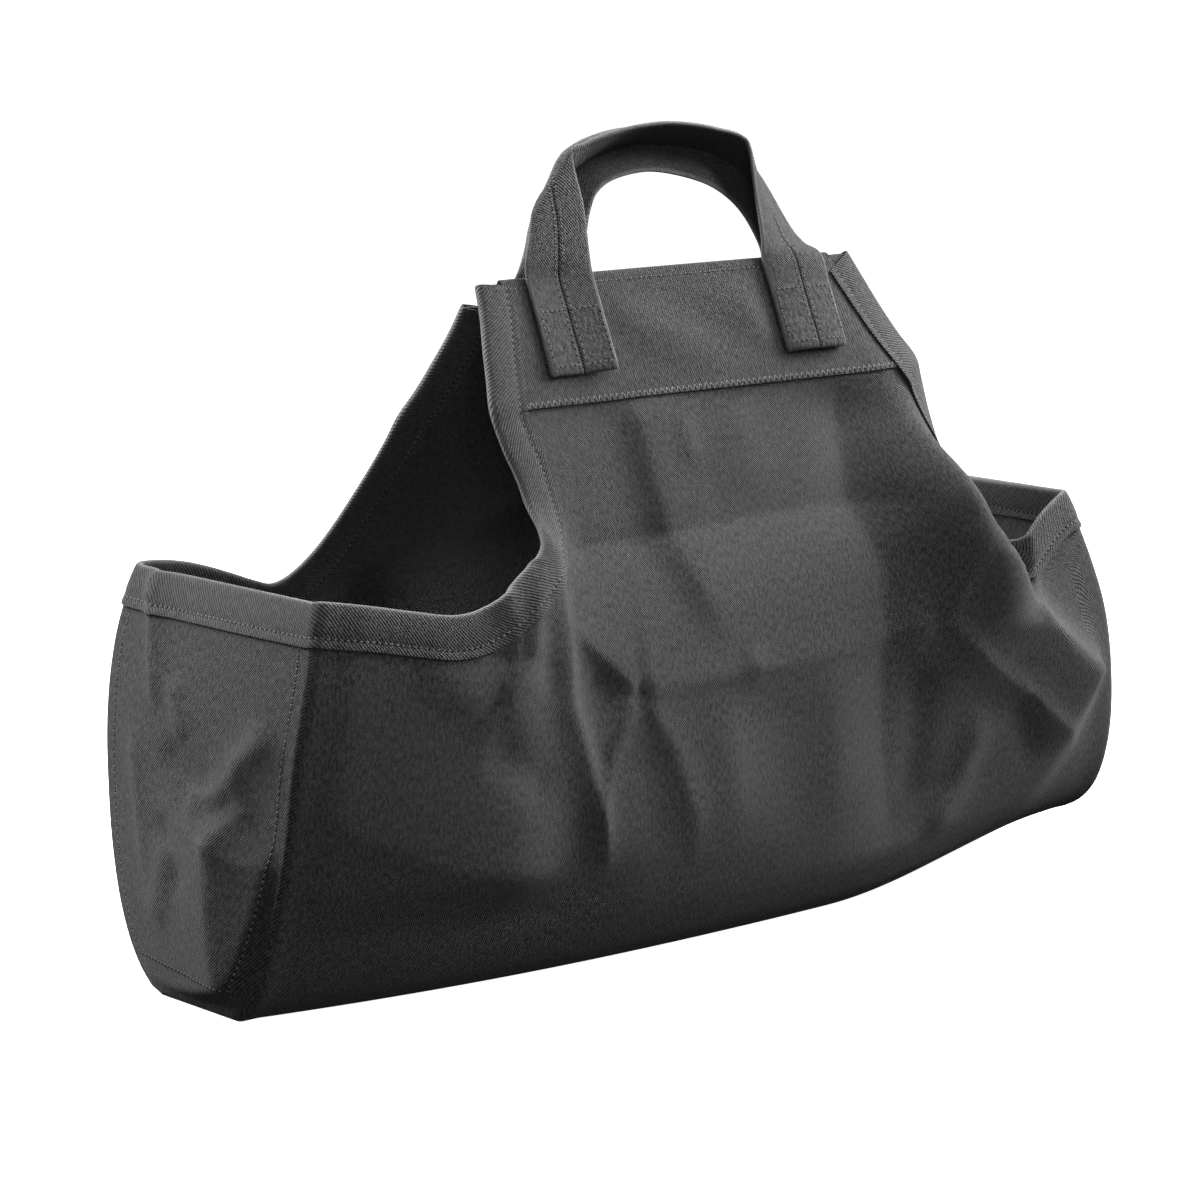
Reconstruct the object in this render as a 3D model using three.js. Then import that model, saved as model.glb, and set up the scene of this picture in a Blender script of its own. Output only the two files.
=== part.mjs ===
import * as THREE from 'three';

// Canvas log carrier, in millimetres. X runs along it, Y from front to back, Z up from the floor.
const CLOTH = 2.0; // doubled canvas of the body sheet and the end panels
const TAPE = 1.2; // binding tape and top bands
const STRAP = 3.0; // handle strap, canvas folded to its middle
const GAP = 0.3; // clearance between pieces that are sewn together
const TAPE_WIDTH = 22; // binding tape on each face of an edge
const TAPE_CELLS = 2; // cells across the tape
const LEG_CELLS = 2; // cells across a handle strap
const MITRE = 0.1; // extra clearance of the tape where it turns a corner
const FLAT_STEPS = 4; // cells across the flat bottom
const END_STEPS = 8; // cells across an end panel
const END_BULGE = 6; // how far an end panel swells beyond its seams
const END_ROWS = 4; // rows above the floor in which that swell dies out
const HEEL_START = 90; // X from which the right end lifts off the floor
const HEEL_END = 300; // X from which it is lifted fully
const HEEL_LIFT = 21; // lift of the right end's bottom
const HEEL_HEIGHT = 140; // height at which the lift has died out
const CURL_WIDTH = 48; // strip of the front's right neck that curls back
const CURL_BACK = 21; // how far that neck curls back
const CURL_FROM = 200; // height at which it starts to curl
const CURL_FADE = 60; // height and length over which the curl grows and dies out
const END_PLACE = 320; // X at which a wall has the depth of its end
const END_POWER = 2.2; // how late along the carrier a wall turns to that depth
const FOLD_RISE = 40; // height over which folds grow from the floor
const FOLD_FADE = 30; // distance from an end within which folds die out
const NAP = { color: 0x2d2d2f, roughness: 0.95, metalness: 0 };
const TAPE_NAP = { color: 0x37373a, roughness: 0.92, metalness: 0 };

// Depth of the walls by height: at mid length, and at the left and right ends.
const PROFILE = [
  { z: 0, front: 78, back: 72, frontLeft: 44, backLeft: 28, right: 48 },
  { z: 4, front: 86, back: 80, frontLeft: 52, backLeft: 38, right: 60 },
  { z: 12, front: 93, back: 87, frontLeft: 60, backLeft: 48, right: 70 },
  { z: 30, front: 100, back: 94, frontLeft: 69, backLeft: 62, right: 81 },
  { z: 60, front: 104, back: 98, frontLeft: 78, backLeft: 76, right: 89 },
  { z: 100, front: 105, back: 99, frontLeft: 86, backLeft: 87, right: 93 },
  { z: 150, front: 103, back: 97, frontLeft: 91, backLeft: 92, right: 94 },
  { z: 200, front: 98, back: 90, frontLeft: 93, backLeft: 93, right: 92 },
  { z: 238, front: 90, back: 76, frontLeft: 87, backLeft: 86, right: 86 },
  { z: 300, front: 70, back: 38, frontLeft: 72, backLeft: 72, right: 72 },
  { z: 350, front: 50, back: 8, frontLeft: 60, backLeft: 60, right: 60 },
  { z: 400, front: 28, back: -18, frontLeft: 50, backLeft: 50, right: 50 },
];

// Reach of the body to each side by height: the ends flare out below the rim.
const LENGTH = [
  { z: 0, left: 337, right: 339 },
  { z: 45, left: 334, right: 342 },
  { z: 101, left: 329, right: 341 },
  { z: 158, left: 325, right: 332 },
  { z: 215, left: 314, right: 309 },
  { z: 240, left: 306, right: 297 },
];

// Rim of each wall from its corner to the foot of its neck, left and right.
const RIM_FRONT = [
  { left: -306, leftZ: 238, right: 297, rightZ: 239 },
  { left: -278, leftZ: 233, right: 284, rightZ: 236 },
  { left: -250, leftZ: 227, right: 270, rightZ: 232 },
  { left: -222, leftZ: 222, right: 257, rightZ: 227 },
  { left: -200, leftZ: 225, right: 243, rightZ: 221 },
  { left: -176, leftZ: 238, right: 230, rightZ: 218 },
  { left: -155, leftZ: 251, right: 219, rightZ: 220 },
];
const RIM_BACK = [
  { left: -306, leftZ: 238, right: 297, rightZ: 239 },
  { left: -285, leftZ: 236, right: 283, rightZ: 235 },
  { left: -262, leftZ: 232, right: 268, rightZ: 229 },
  { left: -238, leftZ: 226, right: 252, rightZ: 222 },
  { left: -212, leftZ: 216, right: 236, rightZ: 213 },
  { left: -190, leftZ: 209, right: 220, rightZ: 209 },
  { left: -168, leftZ: 212, right: 204, rightZ: 212 },
];

// Neck of each wall from its foot to the top edge, left and right.
const NECK_FRONT = [
  { left: -155, leftZ: 251, right: 219, rightZ: 220 },
  { left: -149, leftZ: 262, right: 213, rightZ: 237 },
  { left: -149, leftZ: 276, right: 213, rightZ: 255 },
  { left: -151, leftZ: 291, right: 214, rightZ: 275 },
  { left: -156, leftZ: 308, right: 211, rightZ: 298 },
  { left: -159, leftZ: 327, right: 200, rightZ: 327 },
  { left: -156, leftZ: 345, right: 189, rightZ: 345 },
  { left: -153, leftZ: 362, right: 179, rightZ: 362 },
  { left: -149, leftZ: 380, right: 171, rightZ: 380 },
  { left: -147, leftZ: 397, right: 164, rightZ: 397 },
];
const NECK_BACK = [
  { left: -168, leftZ: 212, right: 204, rightZ: 212 },
  { left: -165, leftZ: 228, right: 201, rightZ: 228 },
  { left: -164, leftZ: 245, right: 200, rightZ: 245 },
  { left: -161, leftZ: 262, right: 199, rightZ: 262 },
  { left: -156, leftZ: 285, right: 197, rightZ: 285 },
  { left: -149, leftZ: 311, right: 194, rightZ: 311 },
  { left: -142, leftZ: 329, right: 190, rightZ: 329 },
  { left: -137, leftZ: 346, right: 186, rightZ: 346 },
  { left: -132, leftZ: 364, right: 181, rightZ: 364 },
  { left: -129, leftZ: 381, right: 176, rightZ: 381 },
];
const BAND_ROW = 5; // row of the neck tables at the lower edge of a top band
const LEG_ROW = 6; // row at the sewn lower end of a handle leg

// Handle legs on each wall: X of the outer and inner strap edges, left and right.
const LEGS_FRONT = { leftOuter: -110, leftInner: -60, rightInner: 83, rightOuter: 132 };
const LEGS_BACK = { leftOuter: -102, leftInner: -52, rightInner: 98, rightOuter: 148 };

// Free arch of each handle, from left leg to right leg: inner and outer strap edges.
const ARCH_FRONT = [
  { ix: -60, iy: -33, iz: 412, ox: -110, oy: -34, oz: 410 },
  { ix: -60, iy: -24, iz: 440, ox: -108, oy: -30, oz: 423 },
  { ix: -59, iy: -13, iz: 469, ox: -104, oy: -23, oz: 432 },
  { ix: -47, iy: -12, iz: 475, ox: -84, oy: -5, oz: 442 },
  { ix: -28, iy: -13, iz: 480, ox: -54, oy: 16, oz: 456 },
  { ix: -8, iy: -14, iz: 483, ox: -22, oy: 29, oz: 468 },
  { ix: 15, iy: -14, iz: 484, ox: 15, oy: 34, oz: 474 },
  { ix: 38, iy: -14, iz: 482, ox: 53, oy: 33, oz: 472 },
  { ix: 60, iy: -13, iz: 478, ox: 85, oy: 29, oz: 463 },
  { ix: 77, iy: -12, iz: 474, ox: 103, oy: 25, oz: 452 },
  { ix: 84, iy: -13, iz: 467, ox: 115, oy: 16, oz: 438 },
  { ix: 84, iy: -22, iz: 440, ox: 125, oy: -2, oz: 420 },
  { ix: 84, iy: -32, iz: 413, ox: 131, oy: -20, oz: 405 },
];
const ARCH_BACK = [
  { ix: -51, iy: -10, iz: 398, ox: -101, oy: -10, oz: 397 },
  { ix: -47, iy: -8, iz: 416, ox: -95, oy: -3, oz: 412 },
  { ix: -41, iy: -4, iz: 432, ox: -80, oy: 12, oz: 427 },
  { ix: -31, iy: -1, iz: 444, ox: -56, oy: 28, oz: 443 },
  { ix: -12, iy: 1, iz: 451, ox: -25, oy: 39, oz: 458 },
  { ix: 15, iy: 1, iz: 454, ox: 15, oy: 44, oz: 465 },
  { ix: 45, iy: 1, iz: 449, ox: 56, oy: 45, oz: 460 },
  { ix: 68, iy: 0, iz: 441, ox: 93, oy: 41, oz: 448 },
  { ix: 85, iy: -3, iz: 428, ox: 122, oy: 30, oz: 430 },
  { ix: 96, iy: -7, iz: 410, ox: 142, oy: 9, oz: 408 },
  { ix: 98, iy: -10, iz: 396, ox: 148, oy: -6, oz: 395 },
];

// Broad folds of the cloth: a ridge or valley along a line, its half width and its height.
const FOLDS_FRONT = [
  { x0: -147, z0: 225, x1: -139, z1: 167, width: 14, height: 8 },
  { x0: -139, z0: 167, x1: -114, z1: 93, width: 17, height: 6 },
  { x0: -136, z0: 206, x1: -86, z1: 164, width: 13, height: 5 },
  { x0: -163, z0: 215, x1: -156, z1: 165, width: 14, height: -6 },
  { x0: -242, z0: 200, x1: -205, z1: 150, width: 20, height: 5 },
  { x0: 168, z0: 169, x1: 221, z1: 133, width: 18, height: 8 },
  { x0: 221, z0: 133, x1: 310, z1: 60, width: 18, height: 6 },
  { x0: 144, z0: 26, x1: 189, z1: 58, width: 15, height: 5 },
  { x0: 168, z0: 300, x1: 200, z1: 225, width: 22, height: 9 },
  { x0: -49, z0: 309, x1: -30, z1: 198, width: 34, height: -6 },
];
const FOLDS_BACK = [
  { x0: -150, z0: 225, x1: -130, z1: 90, width: 24, height: 8 },
  { x0: 170, z0: 225, x1: 150, z1: 90, width: 24, height: 8 },
  { x0: 0, z0: 320, x1: 10, z1: 160, width: 36, height: -6 },
];

// Folds of the end panels, with x standing for the place from front to back.
const FOLDS_END = [
  { x0: 54, z0: 218, x1: 30, z1: 158, width: 13, height: 4 },
  { x0: -59, z0: 163, x1: -25, z1: 107, width: 15, height: 6 },
  { x0: -35, z0: 92, x1: -70, z1: 84, width: 20, height: -9 },
  { x0: 24, z0: 106, x1: -10, z1: 75, width: 11, height: -3 },
];

const FRONT = {
  side: -1,
  depth: 'front',
  left: 'frontLeft',
  rim: RIM_FRONT,
  neck: NECK_FRONT,
  legs: LEGS_FRONT,
  folds: FOLDS_FRONT,
  curl: CURL_BACK,
};
const BACK = {
  side: 1,
  depth: 'back',
  left: 'backLeft',
  rim: RIM_BACK,
  neck: NECK_BACK,
  legs: LEGS_BACK,
  folds: FOLDS_BACK,
  curl: 0,
};

// Share of the height below the tape at which the rows of a wall lie, from the tape to the floor.
const ROW_SHARES = [0.86, 0.72, 0.58, 0.46, 0.35, 0.25, 0.17, 0.1, 0.05, 0.018, 0];
const MIDDLE_STEPS = 8; // cells between the two handle legs
const SHOULDER_STEPS = 3; // cells between the tape and a handle leg
const ARCH_STEPS = 2; // cells along a handle between two rows of its table
const RIM_STEPS = RIM_FRONT.length - 1;
const NECK_STEPS = NECK_FRONT.length - 1;

const smooth = (t) => t * t * (3 - 2 * t);
const clamp = (t) => Math.min(1, Math.max(0, t));
const mix = (a, b, t) => a + (b - a) * t;

// Reads a table smoothly between its rows, by the given measure of the height.
function read(table, name, z, measure) {
  const at = measure(z);
  const last = table.length - 2;
  const found = table.findIndex((row, n) => n > 0 && measure(row.z) >= at) - 1;
  const n = found < 0 ? last : Math.min(found, last);
  const position = (k) => measure(table[Math.min(table.length - 1, Math.max(0, k))].z);
  const value = (k) => table[Math.min(table.length - 1, Math.max(0, k))][name];
  const slope = (k) => (value(k + 1) - value(k - 1)) / (position(k + 1) - position(k - 1));
  const span = position(n + 1) - position(n);
  const t = (at - position(n)) / span;
  const bend = (t * (1 - t) * (1 - t) * slope(n) - t * t * (1 - t) * slope(n + 1)) * span;
  return mix(value(n), value(n + 1), smooth(t)) + bend;
}

function foldHeight(folds, x, z) {
  let height = 0;
  for (const fold of folds) {
    const dx = fold.x1 - fold.x0;
    const dz = fold.z1 - fold.z0;
    const along = ((x - fold.x0) * dx + (z - fold.z0) * dz) / (dx * dx + dz * dz);
    const t = clamp(along);
    const away = Math.hypot(x - fold.x0 - t * dx, z - fold.z0 - t * dz) / fold.width;
    height += fold.height * Math.exp(-away * away);
  }
  return height;
}

const heelLift = (x, z) => HEEL_LIFT * smooth(clamp((x - HEEL_START) / (HEEL_END - HEEL_START)))
  * clamp(1 - z / HEEL_HEIGHT) ** 2;

// A point of a wall's middle surface from its place along the carrier and its height.
function onWall(wall, x, z) {
  const end = clamp(Math.abs(x) / END_PLACE) ** END_POWER;
  const middle = read(PROFILE, wall.depth, z, Math.sqrt);
  const depth = mix(middle, read(PROFILE, x < 0 ? wall.left : 'right', z, Math.sqrt), end);
  const corner = RIM_FRONT[0].right;
  const freedom = clamp(z / FOLD_RISE) * clamp((corner - Math.abs(x)) / FOLD_FADE);
  const folds = foldHeight(wall.folds, x, z) * freedom;
  const nearNeck = clamp((x - neckAt(wall, z) + CURL_WIDTH) / CURL_WIDTH);
  const curled = clamp((z - CURL_FROM) / CURL_FADE) * clamp((corner - x) / CURL_FADE);
  const y = wall.side * (depth + folds - wall.curl * nearNeck ** 2 * curled);
  return new THREE.Vector3(x, y, z + CLOTH / 2 + heelLift(x, z));
}

// X of a wall's right neck edge at a height.
function neckAt(wall, z) {
  const rows = wall.neck;
  const above = rows.findIndex((row) => row.rightZ >= z);
  const n = above < 0 ? rows.length - 2 : Math.max(0, above - 1);
  const t = clamp((z - rows[n].rightZ) / (rows[n + 1].rightZ - rows[n].rightZ));
  return mix(rows[n].right, rows[n + 1].right, t);
}

const spread = (from, to, steps) => Array.from({ length: steps }, (_, n) => mix(from, to, (n + 1) / steps));

// X of every column between the two necks in one row, with the tape and the legs on columns.
function neckColumns(wall, row) {
  const { leftOuter, leftInner, rightInner, rightOuter } = wall.legs;
  const tapeLeft = row.left + TAPE_WIDTH;
  const tapeRight = row.right - TAPE_WIDTH;
  return [
    row.left,
    ...spread(row.left, tapeLeft, TAPE_CELLS),
    ...spread(tapeLeft, leftOuter, SHOULDER_STEPS),
    ...spread(leftOuter, leftInner, LEG_CELLS),
    ...spread(leftInner, rightInner, MIDDLE_STEPS),
    ...spread(rightInner, rightOuter, LEG_CELLS),
    ...spread(rightOuter, tapeRight, SHOULDER_STEPS),
    ...spread(tapeRight, row.right, TAPE_CELLS),
  ];
}

const neckHeight = (row, x) => mix(row.leftZ, row.rightZ, (x - row.left) / (row.right - row.left));

// Columns of points down one wall: neck rows above the shoulder line where the wall has them.
function wallColumns(wall) {
  const shoulder = neckColumns(wall, wall.neck[0]);
  const line = [
    ...wall.rim.slice(0, -1).map((row) => ({ x: row.left, z: row.leftZ })),
    ...shoulder.map((x) => ({ x, z: neckHeight(wall.neck[0], x) })),
    ...wall.rim.slice(0, -1).reverse().map((row) => ({ x: row.right, z: row.rightZ })),
  ];
  return line.map(({ x, z }, column) => {
    const place = column - RIM_STEPS;
    const neck = place >= 0 && place < shoulder.length
      ? wall.neck.slice(1).reverse().map((row) => {
        const across = neckColumns(wall, row)[place];
        return onWall(wall, across, neckHeight(row, across));
      })
      : Array(NECK_STEPS).fill(null);
    const below = z - TAPE_WIDTH;
    const heights = [z, z - TAPE_WIDTH / 2, below, ...ROW_SHARES.map((share) => below * share)];
    const reach = (height) => read(LENGTH, x < 0 ? 'left' : 'right', height, Number);
    return [...neck, ...heights.map((height) => onWall(wall, x * reach(height) / reach(z), height))];
  });
}

// The body sheet as columns of points from the front's edge, under the bottom, to the back's edge.
function bodyColumns() {
  const front = wallColumns(FRONT);
  const back = wallColumns(BACK);
  return front.map((column, n) => {
    const from = column[column.length - 1];
    const to = back[n][back[n].length - 1];
    const bottom = spread(0, 1, FLAT_STEPS).slice(0, -1).map((t) => from.clone().lerp(to, t));
    return [...column, ...bottom, ...[...back[n]].reverse()];
  });
}

// Numbers the points of columns and joins them into quads that face outwards.
function weave(columns) {
  const points = [];
  const number = columns.map((column) => column.map((point) => (point ? points.push(point) - 1 : -1)));
  const quads = [];
  for (let c = 0; c + 1 < columns.length; c += 1) {
    for (let k = 0; k + 1 < columns[c].length; k += 1) {
      const quad = [number[c][k], number[c][k + 1], number[c + 1][k + 1], number[c + 1][k]];
      if (quad.every((index) => index >= 0)) quads.push(quad);
    }
  }
  return { points, quads, number };
}

function normalsOf({ points, quads }) {
  const normals = points.map(() => new THREE.Vector3());
  for (const [a, b, c, d] of quads) {
    const first = points[c].clone().sub(points[a]);
    const second = points[d].clone().sub(points[b]);
    const normal = first.cross(second).normalize();
    for (const index of [a, b, c, d]) normals[index].add(normal);
  }
  return normals.map((normal) => normal.normalize());
}

// Turns a quad so that its shorter diagonal runs from its first corner.
function shorterFirst(points, [a, b, c, d]) {
  return points[a].distanceTo(points[c]) <= points[b].distanceTo(points[d]) ? [a, b, c, d] : [b, c, d, a];
}

// Closes a sheet of quads into a body of even thickness, half of it on each side.
function thicken(sheet, thickness) {
  const normals = normalsOf(sheet);
  const count = sheet.points.length;
  const moved = (point, n, distance) => point.clone().addScaledVector(normals[n], distance);
  const face = (distance) => sheet.points.map((point, n) => moved(point, n, distance));
  const vertices = [...face(thickness / 2), ...face(-thickness / 2)];
  const faces = [];
  const open = new Map();
  for (const quad of sheet.quads) {
    const [a, b, c, d] = shorterFirst(sheet.points, quad);
    faces.push(a, b, c, a, c, d);
    faces.push(a + count, c + count, b + count, a + count, d + count, c + count);
    quad.forEach((from, n) => {
      const to = quad[(n + 1) % 4];
      if (!open.delete(`${to},${from}`)) open.set(`${from},${to}`, [from, to]);
    });
  }
  for (const [from, to] of open.values()) {
    faces.push(to, from, from + count, to, from + count, to + count);
  }
  const geometry = new THREE.BufferGeometry();
  const positions = vertices.flatMap((vertex) => vertex.toArray());
  geometry.setAttribute('position', new THREE.Float32BufferAttribute(positions, 3));
  geometry.setIndex(faces);
  return geometry;
}

const body = weave(bodyColumns());
const bodyNormals = normalsOf(body);
const lastColumn = body.number.length - 1;
const lastRow = body.number[0].length - 1;

// Row of the body's grid for a row of a neck table, or for a row below the shoulder line.
const neckRow = (wall, row) => (wall.side < 0 ? NECK_STEPS - row : lastRow - NECK_STEPS + row);

// A point of a sheet moved off it along the cloth's normal.
const off = (sheet, normals, column, row, distance) => {
  const index = sheet.number[column][row];
  return sheet.points[index].clone().addScaledVector(normals[index], distance);
};
const offBody = (column, row, distance) => off(body, bodyNormals, column, row, distance);

// Columns of an end panel, each from the rim to the floor, just inside the end of the body sheet.
function endColumns(sign) {
  const edge = sign < 0 ? 0 : lastColumn;
  const rows = TAPE_CELLS + 1 + ROW_SHARES.length;
  const inset = -(CLOTH / 2 + GAP);
  const columns = [0, ...spread(0, 1, END_STEPS)].map((share) => Array.from({ length: rows }, (_, n) => {
    const front = offBody(edge, neckRow(FRONT, -n), inset);
    const point = front.lerp(offBody(edge, neckRow(BACK, -n), inset), share);
    const seamed = Math.sin(Math.PI * share) * clamp((rows - 2 - n) / END_ROWS);
    const swell = END_BULGE * Math.sin(Math.PI * n / (rows - 1)) + foldHeight(FOLDS_END, point.y, point.z);
    point.x += sign * (swell * seamed - CLOTH / 2);
    return point;
  }));
  return sign < 0 ? columns.reverse() : columns;
}

// The tape round the opening at one end: down the front neck, round the rim and up the back neck.
function bindingSheet(sign, end) {
  const reach = CLOTH / 2 + GAP + TAPE / 2;
  const endNormals = normalsOf(end);
  const points = [];
  const quads = [];
  const numbers = new Map();
  const put = (name, make) => {
    if (!numbers.has(name)) numbers.set(name, points.push(make()) - 1);
    return numbers.get(name);
  };
  const bodyColumn = (n) => (sign < 0 ? n : lastColumn - n);
  const endColumn = (n) => (sign < 0 ? END_STEPS - n : n);
  const corner = (wall, k, face) => put(`${wall.depth} corner ${k} ${face}`, () => {
    const point = offBody(bodyColumn(0), neckRow(wall, -k), face * (reach + MITRE));
    point.x += sign * (face * reach - CLOTH / 2);
    return point;
  });
  const onBody = (wall) => (n, k, face) => (n === 0
    ? corner(wall, k, face)
    : put(`${wall.depth} ${n} ${k} ${face}`, () => offBody(bodyColumn(n), neckRow(wall, -k), face * reach)));
  const onFront = onBody(FRONT);
  const onBack = onBody(BACK);
  const onEnd = (n, k, face) => {
    if (n === 0) return corner(FRONT, k, face);
    if (n === END_STEPS) return corner(BACK, k, face);
    return put(`end ${n} ${k} ${face}`, () => off(end, endNormals, endColumn(n), k, face * reach));
  };
  const cell = (at, n, k, turned) => {
    for (const face of [1, -1]) {
      const quad = [at(n, k, face), at(n, k + 1, face), at(n + 1, k + 1, face), at(n + 1, k, face)];
      quads.push((face > 0) === turned ? quad.reverse() : quad);
    }
  };
  for (const [at, turned] of [[onFront, true], [onBack, false]]) {
    for (let n = 0; n < RIM_STEPS + TAPE_CELLS; n += 1) {
      for (let k = n < RIM_STEPS ? 0 : -NECK_STEPS; k < TAPE_CELLS; k += 1) cell(at, n, k, turned);
    }
  }
  for (let n = 0; n < END_STEPS; n += 1) {
    for (let k = 0; k < TAPE_CELLS; k += 1) cell(onEnd, n, k, false);
  }

  // Stations along the raw edge, each with the neighbour that lies deeper in the cloth.
  const neckStations = (at) => Array.from({ length: NECK_STEPS }, (_, n) => (
    { at, edge: [RIM_STEPS, n - NECK_STEPS], inside: [RIM_STEPS + 1, n - NECK_STEPS] }));
  const rimStations = (at) => Array.from({ length: RIM_STEPS + 1 }, (_, n) => (
    { at, edge: [n, 0], inside: [n === RIM_STEPS ? n + 1 : n, 1] }));
  const endStations = Array.from({ length: END_STEPS - 1 }, (_, n) => (
    { at: onEnd, edge: [n + 1, 0], inside: [n + 1, 1] }));
  const stations = [
    ...neckStations(onFront), ...rimStations(onFront).reverse(), ...endStations,
    ...rimStations(onBack), ...neckStations(onBack).reverse(),
  ].map(({ at, edge, inside }, n) => {
    const around = [1, -1].map((face) => {
      const raw = at(...edge, face);
      const away = points[raw].clone().sub(points[at(...inside, face)]).normalize();
      const cap = put(`cap ${n} ${face}`, () => points[raw].clone().addScaledVector(away, GAP + TAPE));
      return { raw, cap };
    });
    return [around[1].raw, around[1].cap, around[0].cap, around[0].raw];
  });
  stations.slice(1).forEach((station, n) => {
    for (let q = 0; q < 3; q += 1) {
      quads.push([stations[n][q], stations[n][q + 1], station[q + 1], station[q]]);
    }
  });
  return { points, quads };
}

// The hem band on the outside of a wall's top, between the two bindings.
function bandColumns(wall) {
  const first = RIM_STEPS + TAPE_CELLS;
  const last = lastColumn - first;
  const rows = Array.from({ length: NECK_STEPS - BAND_ROW + 1 }, (_, n) => neckRow(wall, NECK_STEPS - n));
  const lifted = (column, row) => offBody(column, row, CLOTH / 2 + GAP + TAPE / 2);
  return Array.from({ length: last - first + 1 }, (_, n) => rows.map((row) => {
    const point = lifted(first + n, row);
    if (n > 0 && n < last - first) return point;
    const inner = lifted(n === 0 ? first + 1 : last - 1, row);
    return point.add(inner.sub(point).setLength(GAP));
  }));
}

// A handle as rows across the strap: up the left leg, over the free arch and down the right leg.
function strapRows(wall, arch) {
  const leftOuter = RIM_STEPS + TAPE_CELLS + SHOULDER_STEPS;
  const rightInner = leftOuter + LEG_CELLS + MIDDLE_STEPS;
  const rise = CLOTH / 2 + GAP + TAPE + GAP + STRAP / 2;
  const sewn = Array.from({ length: NECK_STEPS - LEG_ROW + 1 }, (_, n) => neckRow(wall, LEG_ROW + n));
  const leg = (columns) => sewn.map((row) => columns.map((column) => offBody(column, row, rise)));
  const leftLeg = leg([leftOuter + 2, leftOuter + 1, leftOuter]);
  const rightLeg = leg([rightInner, rightInner + 1, rightInner + 2]).reverse();
  const free = arch.map((row) => {
    const inner = new THREE.Vector3(row.ix, row.iy, row.iz);
    const outer = new THREE.Vector3(row.ox, row.oy, row.oz);
    return [inner, inner.clone().add(outer).divideScalar(2), outer];
  });
  const rows = [...leftLeg, ...free, ...rightLeg];
  const rails = [0, 1, 2].map((n) => {
    const points = rows.map((row) => row[n]);
    return new THREE.CatmullRomCurve3(points, false, 'centripetal');
  });
  const between = (from) => Array.from({ length: ARCH_STEPS - 1 }, (_, n) => (
    rails.map((rail) => rail.getPoint((from + (n + 1) / ARCH_STEPS) / (rows.length - 1)))));
  return rows.flatMap((row, n) => {
    const loose = n >= leftLeg.length - 1 && n < leftLeg.length + free.length;
    return loose ? [row, ...between(n)] : [row];
  });
}

const group = new THREE.Group();
group.name = 'log_carrier';
function place(name, sheet, thickness, nap) {
  const mesh = new THREE.Mesh(thicken(sheet, thickness), new THREE.MeshStandardMaterial(nap));
  mesh.name = name;
  group.add(mesh);
}

place('body_sheet', body, CLOTH, NAP);
for (const [name, sign] of [['left', -1], ['right', 1]]) {
  const end = weave(endColumns(sign));
  place(`end_panel_${name}`, end, CLOTH, NAP);
  place(`binding_${name}`, bindingSheet(sign, end), TAPE, TAPE_NAP);
}
for (const [name, wall, arch] of [['front', FRONT, ARCH_FRONT], ['back', BACK, ARCH_BACK]]) {
  place(`top_band_${name}`, weave(bandColumns(wall)), TAPE, NAP);
  place(`handle_${name}`, weave(strapRows(wall, arch)), STRAP, TAPE_NAP);
}

export default group;
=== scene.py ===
import math

import bpy
import numpy as np
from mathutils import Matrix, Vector


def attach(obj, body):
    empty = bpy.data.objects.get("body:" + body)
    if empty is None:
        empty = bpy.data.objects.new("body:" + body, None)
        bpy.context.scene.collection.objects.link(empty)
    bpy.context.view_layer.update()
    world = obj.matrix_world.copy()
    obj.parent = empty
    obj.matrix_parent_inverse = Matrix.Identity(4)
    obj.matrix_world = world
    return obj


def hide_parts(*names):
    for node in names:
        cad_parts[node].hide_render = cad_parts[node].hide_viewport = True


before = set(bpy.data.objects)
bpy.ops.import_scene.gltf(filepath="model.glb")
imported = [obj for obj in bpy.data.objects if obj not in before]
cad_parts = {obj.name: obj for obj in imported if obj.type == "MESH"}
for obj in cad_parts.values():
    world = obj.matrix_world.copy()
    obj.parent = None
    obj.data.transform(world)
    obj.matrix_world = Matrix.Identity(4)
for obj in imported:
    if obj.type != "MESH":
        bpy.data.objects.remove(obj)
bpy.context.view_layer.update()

# Canvas log carrier. Tables and sizes are in millimetres: X along it, Y from front to back, Z up.
MM = 0.001
TINY = 1e-9  # keeps a division from failing
CLOTH = 2.0  # doubled canvas of the body and the end panels
TAPE = 1.2  # binding tape and hem bands
STRAP = 3.0  # handle strap, canvas folded to its middle
GAP = 0.3  # clearance between sewn pieces
TAPE_WIDTH = 22.0  # tape on each face of an edge
TAPE_RISE = CLOTH / 2 + GAP + TAPE / 2  # tape above the middle of the cloth
STRAP_RISE = CLOTH / 2 + GAP + TAPE + GAP + STRAP / 2
STRAP_WIDTH = 50.0
HEEL_START, HEEL_END = 90.0, 300.0  # stretch in which the right end lifts off the floor
HEEL_LIFT, HEEL_HEIGHT = 21.0, 140.0  # how far it lifts, and the height at which that has died away
CURL_WIDTH = 48.0  # strip of the front's right neck that curls back
CURL_FROM, CURL_RISE = 165.0, 60.0  # height from which it curls, and the stretch in which the curl grows
CURL_SIDE, CURL_FADE = 257.0, 18.0  # place on the rim from which it curls, and the stretch for that
END_PLACE, END_POWER = 320.0, 2.2  # how a wall turns to the depth of its ends
FOLD_RISE, FOLD_FADE = 40.0, 30.0  # where the folds begin above the floor and beside the ends
FOLD_TOP, FOLD_CLOSE = 331.0, 14.0  # where they end under the hem bands
SEAM_ROUND = 6.0  # rounding of the corner seams
SEAM_TUCK = 2.5  # how deep the seam allowance turns in
SEAM_SHARES = (0.15, 0.3, 0.45)  # places across the rounding where the body sheet has points
PANEL_FREE = 7.0  # distance from a seam at which an end panel's folds are full
STITCH_RISE = 0.1  # stitches above the cloth
SHARP_ANGLE = 55.0  # edges of a mesh past this angle, in degrees, stay sharp

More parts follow.
